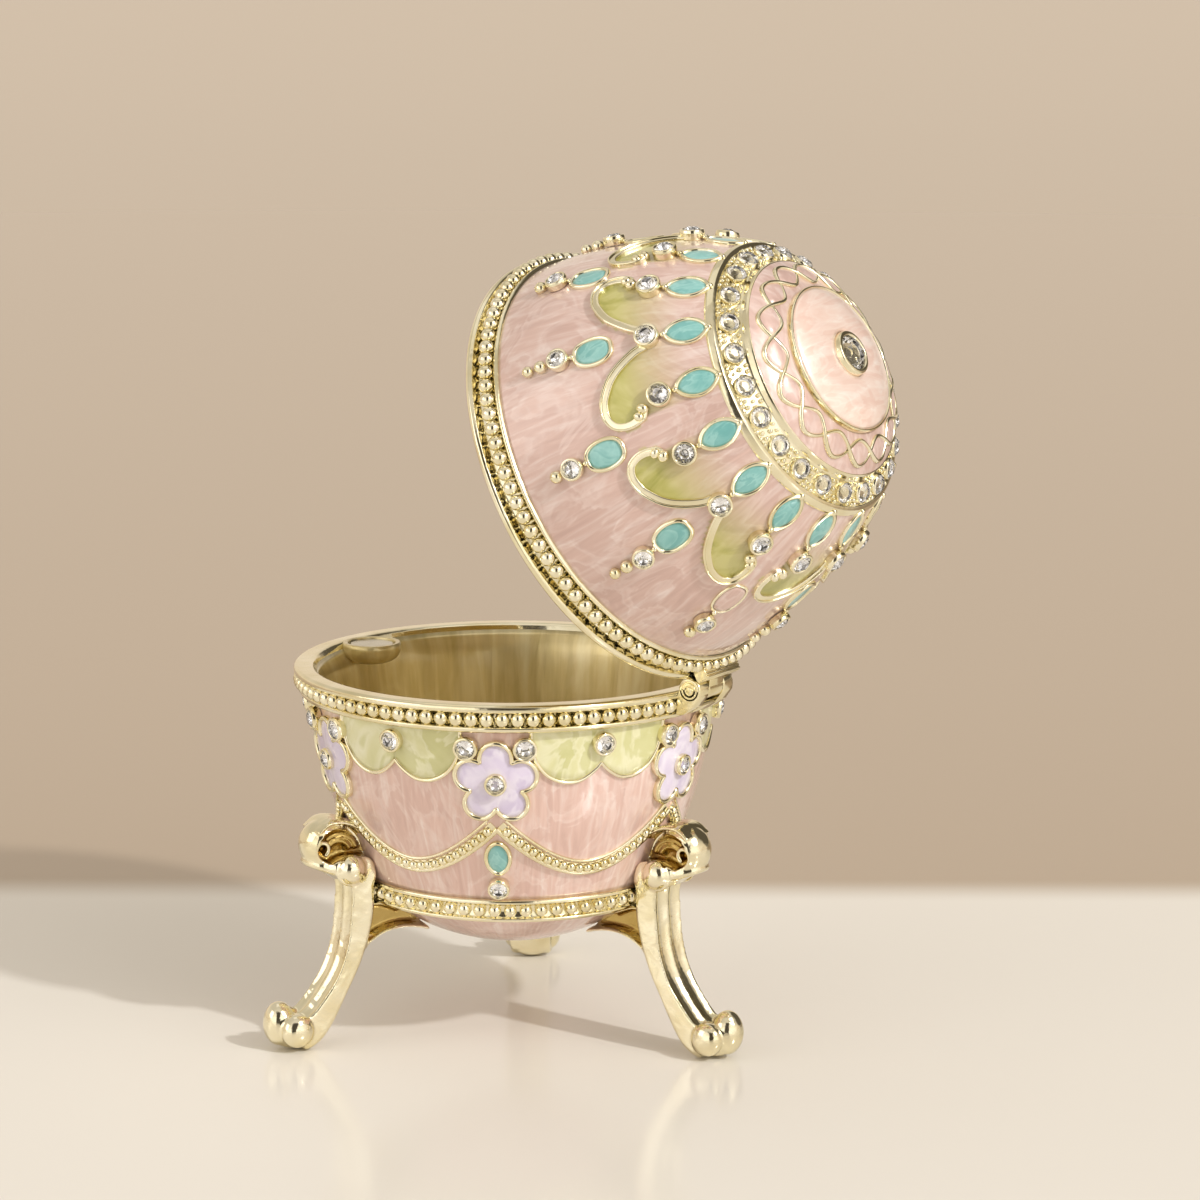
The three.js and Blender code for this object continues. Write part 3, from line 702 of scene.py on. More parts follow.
def bowlCasting():
    piece = newPiece()
    base = smoothLine([(0, 12.35), (3.6, 12.4), (7.1, 12.75), (12.2, 14.75), (16.9, 17.6)], 1.5)
    ring = rounded([(18.2, 18.1), (19.3, 18.15), (20.1, 18.35), (20.3, 18.75), (19.9, 19.0), (19.75, 19.8),
                    (20.1, 20.6), (20.65, 20.8), (20.6, 21.25), (20.1, 21.45), (19.6, 21.3)], 0.16)
    side = smoothLine(bowlPoints[1:], 2.0) - (0.3, 0)
    rim = rounded([(26.2, 44.35), (27.3, 44.4), (27.75, 44.65), (27.85, 45.1), (27.2, 45.4), (26.9, 46.2),
                   (27.2, 46.95), (28.2, 47.05), (28.5, 47.35), (28.45, 47.85), (28.1, 48.1), (26.35, 48.1),
                   (25.95, 47.95), (25.6, 47.2)], 0.18)
    inner = smoothLine([(24.6, 45.3), (23.6, 39.5), (22.3, 32.6), (20.5, 27.4), (18.3, 22.2), (15.5, 18.3),
                        (8.0, 15.0), (0, 14.6)], 1.5)
    profile = [*base, *ring, *side[1:-1], *rim, *inner]
    addLathe(piece, [(max(0, r), z) for r, z in profile], 160)
    finishPiece(piece, "bowl_casting", "base", [gilt], ["bowl"], 50)


def bowlLining():
    piece = newPiece()
    line = smoothLine([(25.5, 47.35), (24.95, 46.2), (24.42, 45.1), (23.5, 39.5), (22.2, 32.4), (20.4, 27.3),
                       (18.2, 22.1), (15.3, 18.35), (8.0, 15.2), (0.0, 14.8)], 0.8)
    line[-1, 0] = 0.0
    outer = [tuple(p) for p in line]
    back = [(r + 0.12, z - 0.12) for r, z in outer[:-1]][::-1]
    addLathe(piece, outer + [(0.0, outer[-1][1] - 0.2)] + back[:-1], 144, True)
    finishPiece(piece, "bowl_lining", "base", [lining])


def bowlEnamel():
    piece = newPiece()
    upper = smoothLine(bowlPoints[1:], 0.6)
    upper = upper[(upper[:, 1] > 21.0) & (upper[:, 1] < 44.75)]
    addLathe(piece, shellProfile(upper, bowl["wall"]), 224, True)
    lower = smoothLine([(0.001, 12.1), (3.6, 12.15), (7.1, 12.4), (12.2, 14.3), (17.3, 17.4), (18.9, 18.7)], 0.6)
    lower[0, 0] = 0.0
    back = [(r - 0.2, z + 0.35) for r, z in lower[1:]][::-1]
    addLathe(piece, [*lower, *back, (0, 12.5)], 224)
    finishPiece(piece, "bowl_enamel", "base", [bowlPink])


def petalOutline(look, step=0.3):
    # The outline of round petals set round the heart.
    c, rho, half = look["centre"], look["petal"], math.pi / look["petals"]
    reach = c * math.cos(half) + math.sqrt(rho ** 2 - (c * math.sin(half)) ** 2)  # to the notch of two petals
    end = math.atan2(reach * math.sin(half), reach * math.cos(half) - c)
    steps = int(2 * end * rho / step)
    points = []
    for k in range(look["petals"]):
        turn = math.pi / 2 + 2 * math.pi * k / look["petals"]
        x, y = c * math.cos(turn), c * math.sin(turn) + look["height"]
        for i in range(steps):
            a = turn - end + 2 * end * (i + 0.5) / steps
            points.append((x + rho * math.cos(a), y + rho * math.sin(a)))
    return np.array(points)


def scallopLine():
    left = [(-degreesAcross(bowlSkin, h, 30 - a), h) for a, h in scallopEdge]
    line = smoothLine(left, 0.35)
    return line, np.stack([-line[:, 0], line[:, 1]], axis=1)[::-1]


def scallopPad(line, rows=7):
    # A closed sheet of enamel from the scalloped line up to the rim.
    look, n, behind = bowl["scallop"], len(line), rows * len(line)
    grid = [np.stack([line[:, 0], line[:, 1] + (look["top"] - line[:, 1]) * t, np.full(n, look["level"])], axis=1)
            for t in np.linspace(0, 1, rows)]
    grid = np.concatenate(grid + [g * (1, 1, 0) + (0, 0, -0.3) for g in grid])
    faces = []
    for level in (0, 1):
        for j in range(rows - 1):
            for i in range(n - 1):
                a = (level * rows + j) * n + i
                quad = (a, a + 1, a + n + 1, a + n)
                faces.append(quad if level == 0 else quad[::-1])
    for i in range(n - 1):
        faces.append((i, behind + i, behind + i + 1, i + 1))
        a = (rows - 1) * n + i
        faces.append((a, a + 1, behind + a + 1, behind + a))
    for j in range(rows - 1):
        a, b = j * n, behind + j * n
        faces.append((a, a + n, b + n, b))
        a, b = a + n - 1, b + n - 1
        faces.append((a, b, b + n, a + n))
    return grid, faces


def bowlCells():
    flowers, ovals, scallops = newPiece(), newPiece(), newPiece()
    look = bowl["flower"]
    addWrapped(flowers, bowlSkin, fillCell(petalOutline(look), look["level"], 0.1, wall=0.8), flowerTurns, True)
    look = bowl["oval"]
    outline = ellipseLine(look["width"], look["tall"], look["point"]) + (0, look["height"])
    addWrapped(ovals, bowlSkin, fillCell(outline, 0.3, 0.1), dropTurns, True)
    for line in scallopLine():
        addWrapped(scallops, bowlSkin, scallopPad(line), scallopTurns, True)
    finishPiece(flowers, "bowl_flowers", "base", [lilacEnamel])
    finishPiece(ovals, "bowl_ovals", "base", [blueEnamel])
    finishPiece(scallops, "bowl_scallops", "base", [greenEnamel])


def swagLine():
    look = bowl["swag"]
    t = np.linspace(-1, 1, look["steps"])
    height = look["sag"] + look["rise"] * np.abs(t) ** look["curve"]
    across = np.radians(look["reach"] * t) * np.interp(height, bowlSkin["z"], bowlSkin["r"])
    return np.stack([across, height], axis=1)


def addBeadRing(piece, look, lift=0.0):
    turns = [2 * math.pi * i / 360 for i in range(360)]
    circle = [(look["radius"] * math.cos(a), look["radius"] * math.sin(a) + axisY, lift + look["height"])
              for a in turns]
    verts, faces = beads(circle, look["beads"], look["bead"], True)
    addMesh(piece, verts, faces)


def bowlStones():
    spots = []
    for azimuth in flowerTurns:
        spots.append(skinSpot(bowlSkin, azimuth, *bowl["heartStone"]))
        for side in (-1, 1):
            spots.append(skinSpot(bowlSkin, azimuth + side * bowl["sideTurn"], *bowl["sideStone"]))
        spots.append(skinSpot(bowlSkin, azimuth + 30, *bowl["scallopStone"]))
    for azimuth in dropTurns:
        spots.append(skinSpot(bowlSkin, azimuth, *bowl["dropStone"]))
    return spots


def bowlGilding():
    piece = newPiece()
    look = bowl["flower"]
    petals = ridge([petalOutline(look, 0.35)], look["line"], look["proud"], True)
    addWrapped(piece, bowlSkin, petals, flowerTurns)
    look = bowl["oval"]
    oval = ellipseLine(look["width"] + 0.4, look["tall"] + 0.4, look["point"]) + (0, look["height"])
    addWrapped(piece, bowlSkin, ridge([oval], look["line"], 0.5, True), dropTurns)
    addWrapped(piece, bowlSkin, ridge(scallopLine(), bowl["scallop"]["line"], 0.5), scallopTurns)
    look = bowl["swag"]
    centre = swagLine()
    for side, width, height in look["lines"]:  # upper line, lower line, the beads' bed
        addWrapped(piece, bowlSkin, ridge([offsetLine(centre, side)], width, height), scallopTurns)
    bed = offsetLine(centre, look["bed"])[2:-2]
    row = np.stack([bed[:, 0], bed[:, 1], np.full(len(bed), 0.2)], axis=1)
    addWrapped(piece, bowlSkin, beads(row, look["beads"], look["bead"]), scallopTurns)
    addBeadRing(piece, bowl["rim"])
    addBeadRing(piece, bowl["ring"])
    addSet(piece, "setting", bowlStones())
    finishPiece(piece, "bowl_gilding", "base", [gilt], (), 60)


bowlCasting()
bowlLining()
bowlEnamel()
bowlCells()
bowlGilding()
addStones("bowl_stones", "base", bowlStones(), crystalNodes("flower", "scallop", "drop"))
print("bowl made")


# Lid
lid = {"turn": 2.5, "wall": 0.35, "band": 1.0,
       "rim": {"beads": 90, "bead": 0.965, "radius": 27.6, "height": 2.75},
       "upper": {"count": 18, "oval": 27.6, "width": 2.7, "tall": 4.0, "point": 0.35, "stone": (23.5, 1.05, 1.15)},
       "lower": {"oval": 15.3, "width": 3.0, "tall": 4.1, "point": -0.25, "stone": (11.1, 1.05, 1.05), "raise": 1.7,
                 "cuspBeads": ((14.35, 0.34), (10.35, 0.84), (8.6, 0.74)), "sideBeads": ((12.75, 0.34), (8.75, 0.84))},
       "crescentBeads": ((24.1, 20.6, 0.62), (22.2, 21.3, 0.7)),
       "crown": {"stones": 24, "stone": 1.2, "radius": 15.9, "height": 31.65, "rows": (14.95, 15.7, 16.45, 16.95)},
       "wire": {"waves": 8, "at": 11.85, "reach": 1.4, "width": 0.5, "height": 0.36, "cushion": 0.36},
       "topStone": {"height": 37.8, "radius": 2.15}}
crescentEdge = [(1.6, 23.0), (2.6, 21.9), (5.4, 20.2), (9.0, 18.5), (12.8, 17.4), (16.4, 16.7), (20.9, 16.5),
                (24.6, 17.2), (26.4, 18.5), (26.7, 19.9), (25.7, 21.2), (23.9, 21.7)]  # (degrees, height)
upperTurns = [lid["turn"] + 20 * k for k in range(lid["upper"]["count"])]
cuspTurns = [lid["turn"] + 60 * k for k in range(6)]
sideTurns = [t + 30 for t in cuspTurns]
plainTurn = sideTurns[5]  # the one lower oval that is left pink


def up(points):
    return [(max(0.0, r), lidPlane + h) for r, h in points]


def crescentLine(side):
    edge = [(side * degreesAcross(lidSkin, lidPlane + h, a), lidPlane + h) for a, h in crescentEdge]
    return smoothLine(edge, 0.35)


def lidCasting():
    piece = newPiece()
    rim = rounded([(25.6, 0.9), (25.95, 0.15), (26.35, 0), (28.1, 0), (28.45, 0.25), (28.5, 0.75), (28.2, 1.05),
                   (27.0, 1.15), (26.8, 1.6), (26.85, 2.6), (26.95, 3.55), (27.3, 3.75), (27.32, 4.05), (27.0, 4.25),
                   (26.5, 4.3)], 0.12)
    side = smoothLine(lidPoints[1:-1], 2.0) - (0.3, 0)
    crown = rounded([(18.0, 29.35), (18.1, 29.9), (17.75, 30.55), (17.25, 30.75), (17.0, 30.62), (14.7, 32.15),
                     (14.45, 32.4), (14.3, 33.0), (14.12, 33.3), (13.95, 33.15)], 0.1)
    top = rounded([(13.7, 33.2), (9.9, 34.95), (9.6, 35.2), (9.6, 36.15), (9.4, 36.3), (9.15, 35.9), (3.2, 36.9),
                   (0, 37.0)], 0.12)
    inner = smoothLine([(0, 34.7), (8.0, 34.3), (13.2, 32.1), (16.5, 28.6), (19.0, 24.3), (21.1, 19.8),
                        (23.9, 11.2), (25.2, 3.5)], 1.5)
    addLathe(piece, up([*rim, *side, *crown, *top, *inner]), 160, True)
    finishPiece(piece, "lid_casting", "lid", [gilt], ["lid"], 50)


def lidLining():
    piece = newPiece()
    line = smoothLine([(25.5, 0.85), (25.2, 2.2), (23.8, 11.2), (21.0, 19.7), (18.9, 24.2), (16.4, 28.5),
                       (13.2, 32.0), (8.0, 34.2), (0.0, 34.6)], 0.8)
    back = [(r + 0.12, h + 0.12) for r, h in line[:-1]][::-1]
    addLathe(piece, up([*line, (0.0, 34.8), *back][::-1]), 144, True)
    finishPiece(piece, "lid_lining", "lid", [lining])


def insideLine(x, y, loop):
    # Which points lie inside a closed loop.
    inside = np.zeros(len(x), bool)
    for (x0, y0), (x1, y1) in zip(loop, np.roll(loop, -1, axis=0)):
        crosses = (y0 > y) != (y1 > y)
        at = x0 + (y - y0) * (x1 - x0) / (y1 - y0 if y1 != y0 else 1e-9)
        inside ^= crosses & (x < at)
    return inside


def crescentTint(verts):
    # How yellow-green the enamel is: full inside the foot of a crescent, gone by the crown.
    angle = np.degrees(np.arctan2(verts[:, 1] - axisY, verts[:, 0])) - 90 - lid["turn"]
    away = (angle + 30) % 60 - 30
    height = verts[:, 2] - lidPlane
    loop = np.array(crescentEdge + [(24.0, 28.5), (0.5, 28.5)])
    inside = insideLine(np.abs(away), height, loop)
    fade = np.clip((27.5 - height) / 7.5, 0, 1) ** 1.3
    return inside * fade


def cushions(verts):
    # Raises the enamel between the crown's crossing wires.
    wire = lid["wire"]
    x, y = verts[:, 0], verts[:, 1] - axisY
    reach = wire["reach"] * np.abs(np.sin(wire["waves"] * np.arctan2(y, x)))
    off = np.abs(np.hypot(x, y) - wire["at"]) / np.maximum(reach, 0.05)
    dome = np.clip(1 - off ** 2, 0, 1) ** 0.6 * np.minimum(reach / 0.7, 1)
    return verts + np.stack([0 * x, 0 * x, wire["cushion"] * dome], axis=1)


def lidEnamel():
    piece = newPiece()
    line = smoothLine(lidPoints, 0.33)
    line = line[(line[:, 1] > 4.1) & (line[:, 1] < 29.9)]
    addLathe(piece, up(shellProfile(line, lid["wall"])), 300, True, tint=crescentTint)
    line = smoothLine([(14.15, 33.15), (13.0, 34.05), (11.6, 34.75), (9.6, 35.45)], 0.22)
    verts, faces = lathe(up(shellProfile(line, 0.3)), 288, True)
    addMesh(piece, cushions(verts), faces, skin=verts * (1, 0.5, 1))
    finishPiece(piece, "lid_enamel", "lid", [lidPinkShaded])


def lidDisc():
    piece = newPiece()
    line = smoothLine([(9.3, 36.1), (8.7, 36.45), (7.0, 37.05), (5.0, 37.35), (3.0, 37.45)], 0.5)
    verts, faces = lathe(up(shellProfile(line, 0.5)), 192, True)
    addMesh(piece, verts, faces, skin=verts * (0.3, 1, 1))
    finishPiece(piece, "lid_disc", "lid", [discEnamel])


def lidOval(look, lift=0.0, wider=0.0, taller=0.0):
    # The flat outline of one drop's oval.
    outline = ellipseLine(look["width"] + wider, look["tall"] + taller, look["point"])
    return outline + (0, lidPlane + look["oval"] + lift)


def lidCells():
    piece, plain = newPiece(), newPiece()
    upper, lower = lid["upper"], lid["lower"]
    addWrapped(piece, lidSkin, fillCell(lidOval(upper), 0.3, 0.12), upperTurns, True)
    addWrapped(piece, lidSkin, fillCell(lidOval(lower, lower["raise"]), 0.3, 0.12), cuspTurns, True)
    pad = fillCell(lidOval(lower), 0.3, 0.12)
    addWrapped(piece, lidSkin, pad, [t for t in sideTurns if t != plainTurn], True)
    addWrapped(plain, lidSkin, pad, [plainTurn], True)
    finishPiece(piece, "lid_ovals", "lid", [blueEnamel])
    finishPiece(plain, "lid_plain_oval", "lid", [lidPinkShaded])


def lidStones():
    spots = []
    for turns, look, lift in ((upperTurns, lid["upper"], 0), (cuspTurns, lid["lower"], lid["lower"]["raise"]),
                              (sideTurns, lid["lower"], 0)):
        height, out, radius = look["stone"]
        spots += [skinSpot(lidSkin, t, lidPlane + height + lift, out, radius) for t in turns]
    return spots


def crownStones():
    look, spots = lid["crown"], []
    for k in range(look["stones"]):
        a = math.radians(90 + 360 / look["stones"] * k)
        place = np.array([look["radius"] * math.cos(a), look["radius"] * math.sin(a) + axisY,
                          lidPlane + look["height"]])
        facing = np.array([0.57 * math.cos(a), 0.57 * math.sin(a), 0.82])  # square to the sloping ring
        spots.append((place + facing * 0.25, facing, look["stone"]))
    return spots


def topStone():
    look = lid["topStone"]
    return [(np.array([0, axisY, lidPlane + look["height"]]), np.array([0, 0, 1.0]), look["radius"])]


def addCrescents(piece):
    # Each half crescent: a broad band, a thin line inside it, and two beads at its tip.
    for side in (-1, 1):
        line = crescentLine(side)
        band = ridge([offsetLine(line, side * lid["band"] / 2)], lid["band"], 0.42, edge=0.14)
        addWrapped(piece, lidSkin, band, cuspTurns)
        addWrapped(piece, lidSkin, ridge([offsetLine(line, side * 0.16)], 0.3, 0.62), cuspTurns)
        for turn, height, radius in lid["crescentBeads"]:
            x = side * degreesAcross(lidSkin, lidPlane + height, turn)
            addWrapped(piece, lidSkin, oneBead(x, lidPlane + height, 0.35, radius), cuspTurns)


def lidGilding():
    piece = newPiece()
    addCrescents(piece)
    upper, lower = lid["upper"], lid["lower"]
    addWrapped(piece, lidSkin, ridge([lidOval(upper, 0, 0.45, 0.5)], 0.5, 0.5, True), upperTurns)
    joints = [(0, lidPlane + 25.2, 0.3), (0, lidPlane + 29.9, 0.3)]  # below and above each upper oval
    addWrapped(piece, lidSkin, beads(joints, 2, 0.38), upperTurns)
    oval = lidOval(lower, lower["raise"], 0.5, 0.5)
    addWrapped(piece, lidSkin, ridge([oval], 0.55, 0.5, True), cuspTurns)
    oval = lidOval(lower, 0, 0.5, 0.5)
    addWrapped(piece, lidSkin, ridge([oval], 0.55, 0.5, True), [t for t in sideTurns if t != plainTurn])
    addWrapped(piece, lidSkin, ridge([oval], 0.35, 0.35, True), [plainTurn])
    for turns, row in ((cuspTurns, lower["cuspBeads"]), (sideTurns, lower["sideBeads"])):
        for height, radius in row:
            addWrapped(piece, lidSkin, oneBead(0, lidPlane + height, 0.3, radius), turns)
    addBeadRing(piece, lid["rim"], lidPlane)
    addSet(piece, "setting", lidStones())
    addSet(piece, "setting", topStone())
    finishPiece(piece, "lid_gilding", "lid", [gilt], (), 60)


def crownGrains():
    # Small gold grains between the stones, a little uneven.
    look, spots = lid["crown"], []
    rng = np.random.default_rng(7)
    for k in range(look["stones"]):
        between = math.radians(90 + 360 / look["stones"] * (k + 0.5))
        for row, at in enumerate(look["rows"]):
            for j in (-1, 0, 1) if row % 2 else (-0.5, 0.5):
                a = between + j * 0.052 + rng.normal(0, 0.004)
                radius = at + rng.normal(0, 0.05)
                height = lidPlane + 32.05 - (radius - 14.85) * 0.66 + 0.12
                place = (radius * math.cos(a), radius * math.sin(a) + axisY, height)
                spots.append((place, (0.0, 0.0, 1.0), rng.uniform(0.26, 0.36)))
    return spots


def crownWork():
    # Collars, gold grains and the interlaced wires of the crown.
    piece = newPiece()
    addSet(piece, "collar", crownStones())
    addSet(piece, "grain", crownGrains())
    wire = lid["wire"]
    turns = np.linspace(0, 2 * math.pi, 320, endpoint=False)
    for phase in (0, math.pi):
        wave = wire["at"] + wire["reach"] * np.sin(wire["waves"] * turns + phase)
        height = lidPlane + np.interp(wave, [9.6, 11.6, 13.0, 14.15], [35.45, 34.75, 34.05, 33.15])
        height = height + 0.08 + 0.1 * np.cos(wire["waves"] * turns + phase)
        line = np.stack([wave * np.cos(turns), wave * np.sin(turns) + axisY, height], axis=1)
        verts, faces = ridge([line], wire["width"], wire["height"], True)
        addMesh(piece, verts, faces)
    finishPiece(piece, "crown_gilding", "lid", [gilt], (), 60)


lidCasting()
lidLining()
lidEnamel()
lidDisc()
lidCells()
lidGilding()
crownWork()
addStones("lid_stones", "lid", lidStones() + crownStones() + topStone(), crystalNodes("crown", "top"))
print("lid made")


# Magnets in their bosses, and the hinge
magnet = {"fromAxis": 22.9, "radius": 3.0, "thick": 1.5, "boss": 3.9, "sunk": 0.2}
hinge = {"half": 4.05, "middle": 1.65, "gap": 0.1, "radius": 1.6, "ribs": 4}
hingeY, hingeZ = hingeAt.y / mm, hingeAt.z / mm


def addTurned(piece, profile, place, segments):
    verts, faces = lathe(profile, segments, True)
    verts = verts - (0, axisY, 0) + place
    addMesh(piece, verts, faces, skin=verts)


def makeMagnets():
    r, deep = magnet["radius"], magnet["thick"]
    disc = [(0, -deep), (r - 0.15, -deep), (r, -deep + 0.15), (r, -0.22), (r - 0.2, -0.02), (r - 0.45, 0), (0, 0.02)]
    cup = smoothLine([(0, -2.7), (1.7, -2.6), (2.9, -2.2), (3.6, -1.6), (magnet["boss"], -0.8),
                      (magnet["boss"], 0.0)], 0.4)
    boss = [(max(0, a), z) for a, z in cup]
    boss += [(3.75, 0.2), (3.4, 0.24), (3.18, 0.12), (3.12, -0.1), (3.1, -0.8), (0, -0.8)]
    for body, half, top in (("base", "bowl", rimTop - magnet["sunk"]), ("lid", "lid", lidPlane + magnet["sunk"])):
        place = (0, axisY - magnet["fromAxis"], top)
        node = "magnet_" + half
        for profile, name, slotName, mat, nodes in ((boss, half + "_magnet_boss", "gilt", lining, ()),
                                                    (disc, node + "_disc", "magnet", steel, [node])):
            if body == "lid":
                profile = [(a, -z) for a, z in profile][::-1]
            piece = newPiece()
            addTurned(piece, profile, place, 64)
            finishPiece(piece, name, body, [mat], nodes, 40)


def addSpun(piece, profile, segments=40):
    # Turns (radius, x) points round the hinge line.
    verts, faces = lathe(profile, segments, True)
    verts = verts - (0, axisY, 0)
    addMesh(piece, np.stack([verts[:, 2], verts[:, 0] + hingeY, verts[:, 1] + hingeZ], axis=1), faces)


def addBar(piece, outline, low, high, edge=0.12):
    # A bar along the hinge line with that (y, z) outline, its ends bevelled.
    pts = np.array(rounded(list(outline) + [outline[0], outline[1]], 0.15)[1:-2])
    middle = pts.mean(axis=0)
    n, verts = len(pts), []
    for x, inset in ((low, edge), (low + edge, 0), (high - edge, 0), (high, edge)):
        way = middle - pts
        moved = pts + way / np.linalg.norm(way, axis=1)[:, None] * inset
        verts += [(x, y + axisY, z) for y, z in moved]
    faces = [tuple(range(n))[::-1], tuple(range(3 * n, 4 * n))]
    for j in range(3):
        for i in range(n):
            q = (i + 1) % n
            faces.append((j * n + i, j * n + q, (j + 1) * n + q, (j + 1) * n + i))
    area = sum(a[0] * b[1] - b[0] * a[1] for a, b in zip(pts, np.roll(pts, -1, axis=0)))
    if area < 0:
        faces = [f[::-1] for f in faces]
    addMesh(piece, verts, faces)


def makeHinge():
    half, mid, r = hinge["half"], hinge["middle"], hinge["radius"]
    start = mid + hinge["gap"]
    piece = newPiece()
    face = [(0, start), (r - 0.15, start), (r, start + 0.15), (r, half - 0.25), (r - 0.12, half - 0.05),
            (r - 0.25, half), (r - 0.45, half), (r - 0.52, half - 0.12), (r - 0.62, half - 0.12), (r - 0.7, half),
            (r - 0.95, half), (r - 1.02, half - 0.12), (r - 1.12, half - 0.12), (r - 1.2, half + 0.05),
            (0, half + 0.1)]  # a knuckle with two grooves round the pin's end
    addSpun(piece, face)
    addSpun(piece, [(a, -x) for a, x in face][::-1])
    cheek = [(27.7, 44.9), (28.7, 45.0), (30.1, 46.0), (31.1, 47.4), (31.2, 48.3), (29.6, 48.6), (28.1, 48.2)]
    addBar(piece, cheek, -half, -start)
    addBar(piece, cheek, start, half)
    leaf = [(27.7, 44.85), (28.75, 44.95), (29.95, 45.85), (29.8, 46.35), (28.2, 46.6)]
    addBar(piece, leaf, -start - 0.3, start + 0.3)
    finishPiece(piece, "hinge_bowl_part", "base", [insideGilt], ["hinge_leaf_bowl", "hinge_pin"], 40)
    piece = newPiece()
    addSpun(piece, [(0, -mid), (r - 0.2, -mid), (r - 0.05, -mid + 0.15), (r - 0.05, mid - 0.15), (r - 0.2, mid),
                    (0, mid)])
    addBar(piece, [(28.2, 48.4), (28.0, 50.2), (29.3, 50.3), (30.9, 49.2), (31.1, 48.5)], -mid, mid)
    bar = [(27.6, 49.75), (29.0, 49.75)]
    for i in range(hinge["ribs"]):  # ribs on the back
        z = 49.9 + 0.4 * i
        bar += [(29.32, z), (29.32, z + 0.24), (29.14, z + 0.32)]
    for i in range(hinge["ribs"]):  # and on the top
        y = 29.1 - 0.38 * i
        bar += [(y, 51.62), (y - 0.2, 51.62), (y - 0.28, 51.44)]
    addBar(piece, bar + [(27.5, 51.4)], -half + 0.15, half - 0.15, 0.1)
    finishPiece(piece, "hinge_lid_part", "lid", [insideGilt], ["hinge_leaf_lid"], 40)


makeMagnets()
makeHinge()
print("magnets and hinge made")


# Legs, drawn upright as (distance from the egg's axis, across, height)
leg = {"width": 6.2, "taper": 0.92, "flute": 0.55, "hood": (26.75, 26.7), "hoodSize": (3.35, 3.3, 3.15),
       "lipTilt": 2.2, "eye": 1.9, "footEye": 2.15, "voxel": 0.195, "smooth": 3}
shaftInner = [(20.9, 24.0), (20.9, 21.8), (21.0, 18.0), (21.6, 14.7), (23.0, 10.7), (24.9, 7.0), (26.5, 3.9),
              (28.0, 1.7), (29.6, 0.5), (30.7, 0.2)]
shaftOuter = [(24.8, 24.0), (24.2, 20.6), (24.3, 17.3), (24.8, 13.5), (26.0, 10.0), (27.8, 7.2), (29.6, 5.1),
              (31.0, 4.1), (32.0, 3.7)]
hollowSides = [(21.9, 24.4), (22.3, 26.5), (23.6, 28.0), (25.4, 28.75), (27.2, 28.5), (28.4, 27.4), (28.7, 26.0),
               (27.9, 24.9), (26.0, 24.3)]
bracketWeb = [(21.0, 17.6), (18.8, 17.6), (16.2, 16.6), (14.0, 15.3), (15.6, 15.1), (19.2, 15.0), (21.0, 14.0)]


def workMesh(name, verts, faces):
    mesh = bpy.data.meshes.new(name)
    mesh.from_pydata([tuple(v) for v in verts], [], faces)
    bm = bmesh.new()
    bm.from_mesh(mesh)
    bmesh.ops.recalc_face_normals(bm, faces=bm.faces)
    bm.to_mesh(mesh)
    bm.free()
    obj = bpy.data.objects.new(name, mesh)
    bpy.context.scene.collection.objects.link(obj)
    return obj


def tubeFaces(rings, count):
    # Faces over rings of count points each, with both ends closed.
    faces = []
    for i in range(rings - 1):
        for k in range(count):
            q = (k + 1) % count
            faces.append((i * count + k, i * count + q, (i + 1) * count + q, (i + 1) * count + k))
    faces.append(tuple(range(count))[::-1])
    faces.append(tuple((rings - 1) * count + k for k in range(count)))
    return faces


def alongLine(line, t):
    # The point a share t of the way along an evenly spaced line.
    return np.array([np.interp(t * (len(line) - 1), np.arange(len(line)), line[:, k]) for k in (0, 1)])


def shaft(steps=60):
    # Section points: across, and how far from the inner face (0) to the outer (1); two flutes on the front.
    half = leg["width"] / 2
    section = [(-half, 0.12, 0), (-half, 0.96, 0)]
    for y in np.linspace(-half + 0.1, half - 0.1, 33):
        dip = max(0.0, 1 - ((abs(y) - 1.52) / 1.4) ** 2)
        section.append((y, 1, -leg["flute"] * dip))
    section += [(half, 0.96, 0), (half, 0.12, 0), (half - 0.4, 0, 0), (0, -0.04, 0), (-half + 0.4, 0, 0)]
    inner, outer = smoothLine(shaftInner, 0.5), smoothLine(shaftOuter, 0.5)
    verts = []
    for t in np.arange(steps) / (steps - 1):
        a, b = alongLine(inner, t), alongLine(outer, t)
        out = (b - a) / np.linalg.norm(b - a)
        narrow = 1 + (leg["taper"] - 1) * t
        for y, s, d in section:
            spot = a + (b - a) * s + out * d
            verts.append((spot[0], y * narrow, spot[1]))
    return workMesh("shaft", verts, tubeFaces(steps, len(section)))


def blob(centre, size, segments=40, rings=24):
    verts, faces = unitBall(segments, rings)
    return workMesh("blob", verts * size + centre, faces)


def hoodShape():
    # A bell over the leg: round above, straight below, its lip flared and lower towards the egg.
    (cr, cz), (a, b, c) = leg["hood"], leg["hoodSize"]
    rings = [(math.sin(t), math.cos(t)) for t in np.linspace(0.08, math.pi / 2, 14)]
    rings += [(0.99, -0.15), (0.965, -0.30), (0.92, -0.44), (0.88, -0.55), (0.90, -0.62), (0.93, -0.69),
              (0.92, -0.77), (0.86, -0.84), (0.72, -0.90), (0.4, -0.94)]
    verts, faces, n = [(cr, 0, cz + c)], [], 56
    for f, h in rings:
        for k in range(n):
            turn = 2 * math.pi * k / n
            lean = leg["lipTilt"] * max(0, -h) * (1 - math.cos(turn)) / 2
            verts.append((cr + a * f * math.cos(turn), b * f * math.sin(turn), cz + c * h - lean))
    for k in range(n):
        faces.append((0, 1 + k, 1 + (k + 1) % n))
        for j in range(len(rings) - 1):
            p, q = 1 + j * n + k, 1 + j * n + (k + 1) % n
            faces.append((p, p + n, q + n, q))
    faces.append(tuple(1 + (len(rings) - 1) * n + k for k in range(n)))
    return workMesh("hood", verts, faces)


